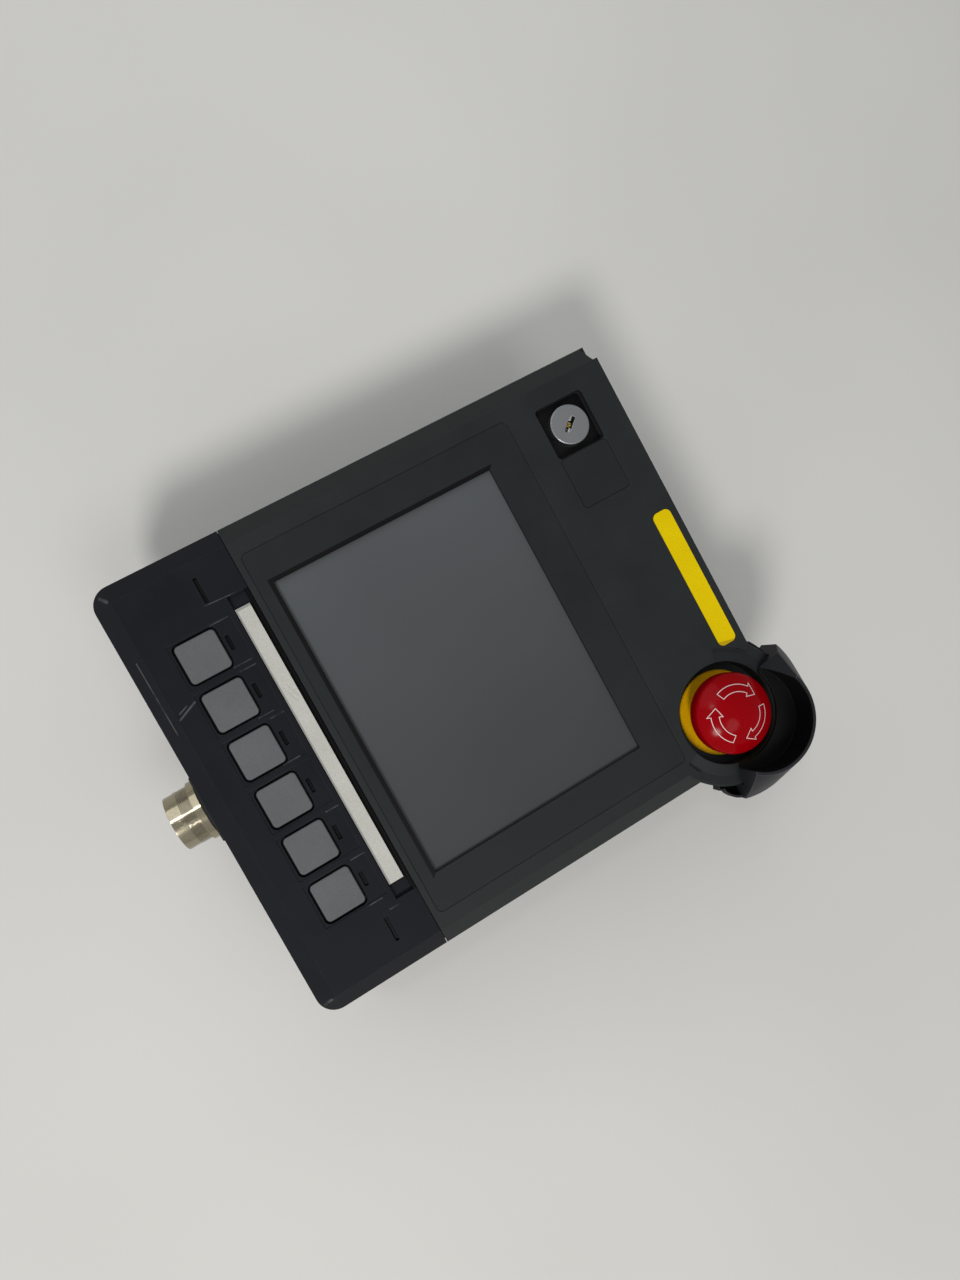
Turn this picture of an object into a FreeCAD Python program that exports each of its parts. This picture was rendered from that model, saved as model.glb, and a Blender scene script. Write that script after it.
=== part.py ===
import FreeCAD, Part
import math
import os
import re

import Sketcher

# Dimensions in millimetres and degrees: x right, y up the face, z out of the screen from the rest face
DIMENSIONS = [
    ("screen_width", 132.5, "visible screen"),
    ("screen_height", 99.6, "visible screen"),
    ("side_border", 29.25, "housing beyond the screen, each side"),
    ("end_border", 65.2, "housing beyond the screen, top and bottom"),
    ("body_width", "=screen_width + 2 * side_border", "flat housing, left to right"),
    ("body_height", "=screen_height + 2 * end_border", "flat housing, bottom edge to top edge"),
    ("face_z", 80.0, "front face above the rest face"),
    ("back_z", 38.0, "flat back of the housing"),
    ("parting_z", 66.0, "rim of the rear cover"),
    ("wall", 2.6, "housing wall"),
    ("edge_chamfer", 8.0, "slope along the front edges"),
    ("corner_radius", 8.2, "lower housing corners"),
    ("back_round", 7.0, "rounding round the flat back"),
    ("notch_height", 2.0, "step at the upper end of each side slope"),
    ("key_panel_height", 55.7, "bottom edge to the seam under the display"),
    ("seam_gap", 0.3, "open seam between bezel and key panel"),
    ("tongue_thick", 1.6, "bezel tongue under the key panel"),
    ("tongue_reach", 4.0, "bezel tongue under the key panel"),
    ("gasket_thick", 0.8, "flat housing gasket"),
    ("gasket_inset", 0.5, "gasket edge behind the housing edge"),
    ("fit_gap", 0.2, "clearance round pieces set into recesses"),
    ("run_gap", 0.05, "radial clearance of running fits"),
    ("seat_gap", 0.1, "clearance under moving pieces"),
    ("overlay_side", 15.25, "front sheet beyond the screen, left and right"),
    ("overlay_top", 15.7, "front sheet above the screen"),
    ("overlay_low", 6.7, "front sheet below the screen"),
    ("overlay_width", "=screen_width + 2 * overlay_side", "front sheet"),
    ("overlay_height", "=screen_height + overlay_top + overlay_low", "front sheet"),
    ("overlay_y", "=(overlay_top - overlay_low) / 2", "middle of the front sheet"),
    ("overlay_thick", 0.5, "front sheet"),
    ("overlay_radius", 2.5, "corners of the front sheet"),
    ("touch_depth", 1.8, "touch glass behind the face"),
    ("touch_edge", 5.7, "touch glass beyond the screen"),
    ("touch_width", "=screen_width + 2 * touch_edge", "touch glass"),
    ("touch_height", "=screen_height + 2 * touch_edge", "touch glass"),
    ("touch_thick", 2.0, "touch glass"),
    ("display_gasket_thick", 1.0, "frame between glass and panel"),
    ("lcd_side", 9.75, "display module beyond the screen, left and right"),
    ("lcd_end", 8.7, "display module beyond the screen, top and bottom"),
    ("lcd_width", "=screen_width + 2 * lcd_side", "display module"),
    ("lcd_height", "=screen_height + 2 * lcd_end", "display module"),
    ("lcd_thick", 1.6, "display panel"),
    ("backlight_thick", 8.4, "display backlight case"),
    ("post_width", 7.0, "screw posts in the front"),
    ("post_space", 4.0, "middle of the posts beyond the display module"),
    ("chassis_edge", 4.0, "inner plate beyond its posts"),
    ("chassis_post_x", "=lcd_width / 2 + post_space", "posts that carry the inner plate"),
    ("chassis_post_y", "=lcd_height / 2 - 2.5 * chassis_edge", "posts that carry the inner plate"),
    ("chassis_width", "=2 * (chassis_post_x + chassis_edge)", "inner plate"),
    ("chassis_height", "=lcd_height - 2 * seat_gap", "inner plate"),
    ("chassis_thick", 1.5, "inner plate"),
    ("board_width", "=lcd_width - 2", "main board"),
    ("board_height", "=lcd_height - 9", "main board"),
    ("board_thick", 1.6, "printed boards"),
    ("standoff_length", 9.0, "main board below the inner plate"),
    ("standoff_width", 5.5, "across the standoff flats"),
    ("standoff_edge", 8.5, "standoffs from the edge of the main board"),
    ("standoff_x", "=board_width / 2 - standoff_edge", "standoff positions"),
    ("standoff_y", "=board_height / 2 - standoff_edge", "standoff positions"),
    ("chip_side", 28.0, "largest chip"),
    ("chip_thick", 2.6, "largest chip"),
    ("memory_width", 14.0, "memory chips"),
    ("memory_height", 20.0, "memory chips"),
    ("converter_height", 36.0, "power converter"),
    ("plug_thick", 9.0, "converter and board plug"),
    ("battery_width", 14.5, "round backup battery"),
    ("battery_length", 25.0, "round backup battery"),
    ("key_margin", 2.2, "key fields inside the screen width, each end"),
    ("key_pitch", "=(screen_width - 2 * key_margin) / 6", "function keys, centre to centre"),
    ("key_space", 4.95, "between neighbouring keys"),
    ("key_width", "=key_pitch - key_space", "function key"),
    ("key_height", 17.0, "function key"),
    ("key_up", 27.9, "row of function keys above the bottom edge"),
    ("key_y", "=key_up - body_height / 2", "row of function keys"),
    ("key_gap", 0.9, "open gap round each key"),
    ("key_radius", 1.8, "key corners"),
    ("key_sink", 0.6, "key top below the face"),
    ("key_travel", 1.2, "key stroke"),
    ("key_flange", 1.6, "retaining edge round each key"),
    ("key_edge", 0.5, "rounded key edge"),
    ("cell_space", 1.95, "between neighbouring key fields"),
    ("cell_width", "=key_pitch - cell_space", "shallow field of one key"),
    ("cell_above", 16.6, "key field above the middle of the key"),
    ("cell_below", 10.5, "key field below the middle of the key"),
    ("cell_top_y", "=key_y + cell_above", "upper end of the key fields"),
    ("cell_bottom_y", "=key_y - cell_below", "lower end of the key fields"),
    ("cell_depth", 0.4, "shallow key fields"),
    ("mat_height", 13.0, "rubber key mat"),
    ("mat_thick", 0.8, "rubber key mat"),
    ("dome_height", 0.8, "domes on the key mat"),
    ("dome_width", 8.0, "domes on the key mat"),
    ("stem_depth", 8.0, "key stem end below the face"),
    ("key_post_inset", 23.5, "key board posts from the side of the housing"),
    ("key_post_x", "=body_width / 2 - key_post_inset", "posts that carry the key board"),
    ("key_board_edge", 8.0, "key board beyond its posts"),
    ("key_board_width", "=2 * (key_post_x + key_board_edge)", "board behind the keys"),
    ("key_board_height", 25.0, "board behind the keys"),
    ("key_board_rise", 5.1, "board middle above the row of keys"),
    ("key_board_y", "=key_y + key_board_rise", "board behind the keys"),
    ("led_width", 6.2, "lamp window over each key"),
    ("led_height", 1.6, "lamp windows"),
    ("led_rise", 11.5, "lamp windows above the row of keys"),
    ("led_sink", 0.9, "lamp windows below the key fields"),
    ("led_y", "=key_y + led_rise", "row of lamp windows"),
    ("lamp_width", 10.8, "power and grip lamp windows"),
    ("lamp_inset", 19.2, "power and grip lamps from the side of the housing"),
    ("lamp_x", "=body_width / 2 - lamp_inset", "power and grip lamp windows"),
    ("label_more", 3.05, "label slot beyond the screen on the left"),
    ("label_extra", 0.95, "label slot beyond the screen on the right"),
    ("label_left", "=-screen_width / 2 - label_more", "label slot"),
    ("label_right", "=screen_width / 2 + label_extra", "label slot"),
    ("label_inset", 1.4, "label slot below the seam"),
    ("label_height", 7.7, "label slot"),
    ("label_top", "=key_panel_height - body_height / 2 - label_inset", "label slot"),
    ("label_bottom", "=label_top - label_height", "label slot"),
    ("label_depth", 1.9, "label slot"),
    ("strip_short", 12.0, "label strip shorter than its slot"),
    ("strip_shift", 0.3, "label strip left and down of the middle of its slot"),
    ("strip_width", "=label_right - label_left - strip_short", "label strip"),
    ("strip_height", 6.4, "label strip"),
    ("strip_thick", 1.3, "label strip"),
    ("strip_x", "=(label_left + label_right) / 2 - strip_shift", "middle of the label strip"),
    ("strip_y", "=(label_bottom + label_top) / 2 - strip_shift", "middle of the label strip"),
    ("switch_side", 23.0, "square switch fields"),
    ("switch_in", 27.9, "key switch from the side of the housing"),
    ("switch_down", 25.0, "key switch from the top of the housing"),
    ("switch_x", "=switch_in - body_width / 2", "key switch"),
    ("switch_y", "=body_height / 2 - switch_down", "key switch and blank plate"),
    ("blank_x", "=switch_x + switch_side + fit_gap", "blank plate"),
    ("blank_thick", 1.5, "blank plate"),
    ("switch_sink", 4.5, "switch holder below the face"),
    ("lock_width", 17.2, "key cylinder face"),
    ("lock_shaft", 12.0, "key cylinder shaft"),
    ("lock_proud", 0.4, "key cylinder above the face"),
    ("lock_length", 20.0, "key cylinder below the face"),
    ("holder_edge", 1.0, "switch holder tray beyond its opening"),
    ("holder_thick", 4.0, "switch holder tray behind the face"),
    ("holder_width", 16.0, "switch holder barrel"),
    ("holder_length", 24.0, "switch holder below the face"),
    ("contact_side", 20.0, "contact block of the key switch"),
    ("keyway_length", 7.6, "key slot"),
    ("keyway_width", 2.4, "key slot"),
    ("keyway_depth", 7.0, "key slot"),
    ("keyway_angle", 41.0, "key slot from upright"),
    ("stop_in", 22.3, "stop switch from the side of the housing"),
    ("stop_down", 23.2, "stop switch from the top of the housing"),
    ("stop_x", "=body_width / 2 - stop_in", "stop switch"),
    ("stop_y", "=body_height / 2 - stop_down", "stop switch"),
    ("plate_space", 25.9, "bare name plate from the stop switch"),
    ("plate_length", 64.3, "bare name plate"),
    ("plate_right", "=stop_x - plate_space", "bare name plate"),
    ("plate_left", "=plate_right - plate_length", "bare name plate"),
    ("plate_down", 7.7, "bare name plate from the top of the housing"),
    ("plate_y", "=body_height / 2 - plate_down", "bare name plate"),
    ("plate_height", 8.7, "bare name plate"),
    ("plate_thick", 0.4, "bare name plate"),
    ("boss_radius", 32.0, "round boss of the stop switch"),
    ("boss_back_z", "=back_z + 6", "underside of the round boss"),
    ("well_radius", 22.3, "round well of the stop switch"),
    ("well_depth", 9.0, "round well of the stop switch"),
    ("ring_radius", 28.4, "sunk ring round the well"),
    ("ring_high", 0.4, "sunk ring below the face at the well"),
    ("ring_low", 1.8, "sunk ring below the face at its outer edge"),
    ("ring_span", 234.0, "angle the sunk ring reaches round"),
    ("rim_span", 186.0, "angle of the free edge of the boss"),
    ("rim_turn", 9.0, "free edge of the boss turned from the direction of the guard"),
    ("rim_slope", 0.8, "sloping free edge of the boss"),
    ("panel_thick", 3.0, "panel under the stop switch"),
    ("stop_hole", 22.4, "mounting hole of the stop switch"),
    ("collar_width", 37.4, "yellow collar"),
    ("collar_thick", 2.0, "yellow collar"),
    ("head_width", 35.0, "mushroom head"),
    ("head_rise", 6.0, "widest line of the head above the face"),
    ("head_top", 12.5, "top of the head above the face"),
    ("head_under", 0.5, "underside of the head below the face"),
    ("head_taper", 1.8, "lower edge of the head"),
    ("head_neck", 18.0, "thick lower part of the stem"),
    ("stop_travel", 3.0, "stroke of the stop switch"),
    ("stop_stem", 9.0, "stem of the stop switch"),
    ("stop_body_width", 29.0, "stop switch body"),
    ("stop_block_width", 24.0, "contact block of the stop switch"),
    ("nut_width", 32.0, "lock nut of the stop switch"),
    ("nut_thick", 4.0, "lock nut of the stop switch"),
    ("guard_offset", 9.5, "guard axis outward from the stop switch"),
    ("guard_angle", 48.0, "direction of the guard"),
    ("guard_end", 10.0, "open side of the guard at the face, outward from the stop switch"),
    ("guard_lean", 10.0, "open side further out at the guard rim"),
    ("guard_wing", 62.0, "guard ends from the direction of the guard"),
    ("guard_floor", 1.2, "floor of the guard"),
    ("tab_span", 156.0, "angle the guard clips reach round"),
    ("tab_height", 6.0, "clips at the guard ends"),
    ("tab_thick", 2.2, "clips at the guard ends"),
    ("guard_inner", 22.0, "inner radius of the guard"),
    ("guard_rim", 1.5, "thickness of the guard rim"),
    ("guard_outer", "=boss_radius + 6.2", "outer radius of the guard foot"),
    ("guard_top", 15.0, "guard rim above the face"),
    ("guard_foot", 14.0, "guard foot below the face"),
    ("guard_clear", 0.3, "guard off the boss"),
    ("connector_drop", 13.0, "connector axis below the rim of the rear cover"),
    ("connector_z", "=parting_z - connector_drop", "axis of the cable connector"),
    ("connector_pad", 1.6, "raised pad under the connector"),
    ("flange_width", 26.0, "connector flange"),
    ("flange_thick", 3.0, "connector flange"),
    ("pad_more", 3.0, "raised pad wider than the flange"),
    ("shell_width", 23.6, "connector shell"),
    ("shell_length", 10.5, "connector shell beyond the flange"),
    ("socket_width", 20.0, "connector mouth"),
    ("socket_depth", 8.0, "connector mouth"),
    ("stud_width", 2.6, "bayonet studs"),
    ("stud_rise", 0.9, "bayonet studs beyond the shell"),
    ("contact_width", 1.4, "connector contacts"),
    ("contact_depth", 3.0, "connector contacts"),
    ("connector_hole", 21.0, "hole for the connector"),
    ("nut_ring_width", 23.6, "nut inside the housing"),
    ("connector_tail", 14.0, "connector inside the housing"),
    ("seal_thick", 0.8, "gasket under the connector flange"),
    ("hump_side", 41.5, "flat back beside the hand hump"),
    ("hump_end", 39.0, "flat back above and below the hand hump"),
    ("hump_width", "=body_width - 2 * hump_side", "hand hump at the flat back"),
    ("hump_height", "=body_height - 2 * hump_end", "hand hump at the flat back"),
    ("hump_draft", 5.0, "hump narrower at the rest face, each side"),
    ("hump_radius", 18.0, "hump corners"),
    ("hump_round", 6.0, "rounding round the rest face"),
    ("hump_floor", 5.0, "floor of the hump"),
    ("screw_in", 11.5, "housing screws from the sides"),
    ("screw_down", 12.0, "upper housing screws from the top"),
    ("screw_up", 15.0, "lower housing screws from the bottom"),
    ("screw_rise", 51.5, "housing screws near the seam from the bottom"),
    ("screw_aside", 49.2, "housing screw beside the boss from the stop switch"),
    ("screw_x", "=body_width / 2 - screw_in", "housing screws"),
    ("screw_top_y", "=body_height / 2 - screw_down", "housing screws"),
    ("screw_low_y", "=body_height / 2 - screw_up", "housing screws"),
    ("screw_seam_y", "=body_height / 2 - screw_rise", "housing screws near the seam"),
    ("screw_mid_x", "=stop_x - screw_aside", "housing screw beside the boss"),
    ("screw_head", 6.0, "housing screw heads"),
    ("screw_head_thick", 2.6, "housing screw heads"),
    ("screw_sink", 0.6, "screw heads below the flat back"),
    ("screw_shank", 3.0, "housing screws"),
    ("lever_short", 62.0, "grip lever shorter than the hump"),
    ("lever_length", "=hump_height - lever_short", "grip lever"),
    ("lever_top_z", 30.0, "grip lever"),
    ("lever_low_z", 8.6, "grip lever"),
    ("lever_thick", 7.5, "inner face of the grip lever inside the hump side"),
    ("lever_inner_x", "=hump_width / 2 - lever_thick", "inner face of the grip lever"),
    ("lever_proud", 2.4, "grip lever beyond the hump side"),
    ("lever_gap", 1.2, "gap round the grip lever"),
    ("pivot_in", 4.5, "grip lever axis inside the hump side"),
    ("pivot_x", "=hump_width / 2 - pivot_in", "grip lever axis"),
    ("pivot_z", 26.5, "grip lever axis"),
    ("pin_width", 3.0, "grip lever pin"),
    ("lug_width", 4.0, "lugs that hold the pin"),
    ("enable_space", 5.5, "enable switch block behind the lever"),
    ("enable_length", 19.0, "enable switch block"),
    ("enable_x", "=lever_inner_x - enable_space - enable_length", "enable switch block"),
    ("enable_width", 28.0, "enable switch block"),
    ("enable_height", 18.0, "enable switch block"),
    ("plunger_width", 6.0, "enable switch plunger"),
    ("plunger_z", 14.0, "enable switch plunger"),
    ("plunger_length", 11.0, "enable switch plunger"),
    ("plunger_gap", 0.3, "plunger before the lever"),
    ("strap_x", -20.0, "middle of the hand strap"),
    ("strap_width", 28.0, "hand strap"),
    ("strap_thick", 1.8, "hand strap"),
    ("strap_side", 1.0, "gap beside the strap in its channel"),
    ("strap_lift", 0.3, "strap off the hump"),
    ("channel_depth", 2.4, "strap channel in the hump"),
    ("anchor_length", 12.0, "strap anchor plates"),
    ("anchor_thick", 2.0, "strap anchor plates"),
    ("anchor_space", 16.0, "strap anchor plates beyond the hump"),
    ("anchor_y", "=hump_height / 2 + anchor_space", "strap anchor plates"),
]
KEY_COUNT = 6

doc = FreeCAD.newDocument("handheld_terminal")
dims = doc.addObject("Spreadsheet::Sheet", "dims")
for row, (alias, number, note) in enumerate(DIMENSIONS, 1):
    dims.set(f"A{row}", str(number))
    dims.setAlias(f"A{row}", alias)
    dims.set(f"B{row}", note)
doc.recompute()
ALIASES = {alias for alias, number, note in DIMENSIONS}

# Lines that several pieces share
HALF_W = "body_width / 2"
HALF_H = "body_height / 2"
SEAM_Y = f"(key_panel_height - {HALF_H})"
FRONT_Z = "(parting_z + gasket_thick)"
INNER_Z = "(face_z - wall)"
TOUCH_Z = "(face_z - touch_depth)"
LCD_Z = f"({TOUCH_Z} - touch_thick - display_gasket_thick)"
CHASSIS_Z = f"({LCD_Z} - lcd_thick - backlight_thick)"
BOARD_Z = f"({CHASSIS_Z} - chassis_thick - standoff_length)"
MAT_Z = "(face_z - stem_depth - key_travel - 2 * seat_gap - dome_height - mat_thick)"
WELL_Z = "(face_z - well_depth)"
PANEL_Z = f"({WELL_Z} - panel_thick)"
SCREW_Z = "(back_z + screw_sink)"
BEZEL_SCREWS = [("-screw_x", "screw_top_y"), ("screw_mid_x", "screw_top_y")]
PANEL_SCREWS = [(f"{side}screw_x", y) for side in ("-", "") for y in ("-screw_low_y", "-screw_seam_y")]
ANCHOR_SCREWS = [
    (f"strap_x {side} (strap_width / 2 + anchor_length / 2 + strap_side / 2)", f"{sign}anchor_y")
    for sign in ("", "-")
    for side in ("-", "+")
]
QUARTERS = [("", ""), ("-", ""), ("-", "-"), ("", "-")]


def formula(text):
    return re.sub(r"[a-z][a-z_0-9]*", lambda m: f"dims.{m[0]}" if m[0] in ALIASES else m[0], text)


def value(text):
    return float(dims.evalExpression(formula(text)))


def bind(thing, prop, text):
    thing.setExpression(prop, formula(text))


def new_body(name, at=None):
    body = doc.addObject("PartDesign::Body", name)
    body.Label = name
    for axis, text in zip("xyz", at or ()):
        bind(body, f"Placement.Base.{axis}", text)
    return body


def new_sketch(body, name, at=("0", "0", "0"), plane="XY_Plane"):
    # On the XZ plane the third offset runs along -y
    sketch = body.newObject("Sketcher::SketchObject", name)
    support = next(item for item in body.Origin.OriginFeatures if item.Role == plane)
    sketch.AttachmentSupport = [(support, "")]
    sketch.MapMode = "FlatFace"
    for axis, text in zip("xyz", at):
        bind(sketch, f"AttachmentOffset.Base.{axis}", text)
    return sketch


def constrain(sketch, kind, *where, size=None):
    if size is None:
        return sketch.addConstraint(Sketcher.Constraint(kind, *where))
    index = sketch.addConstraint(Sketcher.Constraint(kind, *where, value(size)))
    bind(sketch, f"Constraints[{index}]", size)
    return index


def draw_rectangle(sketch, width, height, radius=None):
    half_x = value(width) / 2
    half_y = value(height) / 2
    inset = value(radius) if radius else 0.0
    spots = [
        (-half_x + inset, -half_y),
        (half_x - inset, -half_y),
        (half_x, -half_y + inset),
        (half_x, half_y - inset),
        (half_x - inset, half_y),
        (-half_x + inset, half_y),
        (-half_x, half_y - inset),
        (-half_x, -half_y + inset),
    ]
    points = [FreeCAD.Vector(x, y, 0) for x, y in spots]
    for side in range(4):
        sketch.addGeometry(Part.LineSegment(points[2 * side], points[2 * side + 1]))
    for side, kind in enumerate(["Horizontal", "Vertical"] * 2):
        constrain(sketch, kind, side)
    for side in range(4):
        following = (side + 1) % 4
        if not radius:
            constrain(sketch, "Coincident", side, 2, following, 1)
            continue
        turn = math.radians(90 * side)
        start = points[2 * side + 1]
        end = points[(2 * side + 2) % 8]
        inward = FreeCAD.Vector(-math.sin(turn), math.cos(turn), 0)
        centre = start + inward * inset
        middle = centre + ((start - centre) + (end - centre)).normalize() * inset
        arc = sketch.addGeometry(Part.Arc(start, middle, end))
        constrain(sketch, "Tangent", side, 2, arc, 1)
        constrain(sketch, "Tangent", arc, 2, following, 1)
        constrain(sketch, "Radius", arc, size=radius)
    constrain(sketch, "DistanceX", -1, 1, 1, 1, size=f"({width}) / 2")
    constrain(sketch, "DistanceX", 3, 1, -1, 1, size=f"({width}) / 2")
    constrain(sketch, "DistanceY", -1, 1, 2, 1, size=f"({height}) / 2")
    constrain(sketch, "DistanceY", 0, 1, -1, 1, size=f"({height}) / 2")


def draw_circle(sketch, width):
    circle = sketch.addGeometry(Part.Circle(FreeCAD.Vector(), FreeCAD.Vector(0, 0, 1), value(width) / 2))
    constrain(sketch, "Coincident", circle, 3, -1, 1)
    constrain(sketch, "Diameter", circle, size=width)


def draw_outline(sketch, corners):
    # A third entry is the radius of an arc that reaches the corner, bulging to the right of the way there
    points = [FreeCAD.Vector(value(corner[0]), value(corner[1]), 0) for corner in corners]
    for index, corner in enumerate(corners):
        start = points[index - 1]
        end = points[index]
        if len(corner) == 2:
            sketch.addGeometry(Part.LineSegment(start, end))
            continue
        chord = end - start
        radius = value(corner[2])
        rise = radius - math.sqrt(radius ** 2 - (chord.Length / 2) ** 2)
        side = FreeCAD.Vector(chord.y, -chord.x, 0).normalize()
        sketch.addGeometry(Part.Arc(start, (start + end) / 2 + side * rise, end))
    for index, corner in enumerate(corners):
        following = (index + 1) % len(corners)
        end = 2
        if len(corner) == 3:
            geometry = sketch.Geometry[index]
            end = 2 if (geometry.EndPoint - points[index]).Length < 1e-6 else 1
            constrain(sketch, "Radius", index, size=corner[2])
        start = 1
        if len(corners[following]) == 3:
            geometry = sketch.Geometry[following]
            start = 1 if (geometry.StartPoint - points[index]).Length < 1e-6 else 2
        constrain(sketch, "Coincident", index, end, following, start)
        for kind, axis, size, text in zip(("DistanceX", "DistanceY"), (-2, -1), points[index], corner):
            if abs(size) < 1e-9:
                constrain(sketch, "PointOnObject", index, end, axis)
            elif size > 0:
                constrain(sketch, kind, -1, 1, index, end, size=text)
            else:
                constrain(sketch, kind, index, end, -1, 1, size=f"-({text})")


def extrude(body, sketch, length, cut=False, up=True):
    # Pads run along the sketch normal, pockets against it, unless up says otherwise
    feature = body.newObject("PartDesign::Pocket" if cut else "PartDesign::Pad", sketch.Name + "_solid")
    feature.Profile = sketch
    feature.Reversed = up if cut else not up
    bind(feature, "Length", length)
    sketch.Visibility = False
    body.Tip = feature
    doc.recompute()
    return feature


def slab(body, name, at, size, height, radius=None, cut=False, plane="XY_Plane", up=True):
    sketch = new_sketch(body, name, at, plane)
    draw_rectangle(sketch, *size, radius)
    return extrude(body, sketch, height, cut, up)


def disc(body, name, at, width, height, cut=False, plane="XY_Plane", up=True):
    sketch = new_sketch(body, name, at, plane)
    draw_circle(sketch, width)
    return extrude(body, sketch, height, cut, up)


def prism(body, name, corners, at, height, cut=False, plane="XZ_Plane"):
    sketch = new_sketch(body, name, at, plane)
    draw_outline(sketch, corners)
    feature = extrude(body, sketch, height, cut)
    feature.Midplane = True
    doc.recompute()
    return feature


def turn(body, name, corners, at=("0", "0", "0"), angle="360", cut=False, plane="XZ_Plane", axis="V_Axis"):
    sketch = new_sketch(body, name, at, plane)
    draw_outline(sketch, corners)
    feature = body.newObject("PartDesign::Groove" if cut else "PartDesign::Revolution", name + "_solid")
    feature.Profile = sketch
    feature.ReferenceAxis = (sketch, [axis])
    feature.Midplane = True
    bind(feature, "Angle", angle)
    body.Tip = feature
    doc.recompute()
    return feature


def loft(body, name, sections, cut=False):
    sketches = []
    for number, (at, size, radius) in enumerate(sections):
        sketch = new_sketch(body, f"{name}_{number}", at)
        if len(size) == 1:
            draw_circle(sketch, *size)
        else:
            draw_rectangle(sketch, *size, radius)
        sketches.append(sketch)
    kind = "SubtractiveLoft" if cut else "AdditiveLoft"
    feature = body.newObject(f"PartDesign::{kind}", name + "_solid")
    feature.Profile = sketches[0]
    feature.Sections = sketches[1:]
    feature.Ruled = True
    body.Tip = feature
    doc.recompute()
    return feature


def repeat(body, original, sketch_axis, spacing, count):
    feature = body.newObject("PartDesign::LinearPattern", original.Name + "_row")
    feature.Originals = [original]
    feature.Direction = (original.Profile[0], [sketch_axis])
    bind(feature, "Length", f"({spacing}) * {count - 1}")
    feature.Occurrences = count
    body.Tip = feature
    doc.recompute()
    return feature


def names_of(shapes, kind, test):
    return [f"{kind}{index}" for index, shape in enumerate(shapes, 1) if test(shape)]


def dress(body, kind, edge_test, size):
    base = body.Tip
    feature = body.newObject(f"PartDesign::{kind}", f"{body.Name}_{kind}_{len(body.Group)}")
    feature.Base = (base, names_of(base.Shape.Edges, "Edge", edge_test))
    bind(feature, "Radius" if kind == "Fillet" else "Size", size)
    body.Tip = feature
    doc.recompute()
    return feature


def shell(body, face_test, thickness):
    base = body.Tip
    feature = body.newObject("PartDesign::Thickness", body.Name + "_shell")
    feature.Base = (base, names_of(base.Shape.Faces, "Face", face_test))
    feature.Reversed = True
    feature.Join = "Intersection"
    bind(feature, "Value", thickness)
    body.Tip = feature
    doc.recompute()
    return feature


def near(number, text):
    return abs(number - value(text)) < 1e-4


def upright(edge):
    return near(edge.BoundBox.XLength, "0") and near(edge.BoundBox.YLength, "0")


def at_height(edge, text):
    return near(edge.BoundBox.ZMin, text) and near(edge.BoundBox.ZMax, text)


def add_posts(body, prefix, spots, low, high):
    for number, (x, y) in enumerate(spots):
        disc(body, f"{prefix}_{number}", (x, y, low), "post_width", f"{high} - {low}")
        pilot = "screw_shank + fit_gap"
        disc(body, f"{prefix}_hole_{number}", (x, y, low), pilot, f"({high} - {low}) * 0.8", cut=True)


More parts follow.
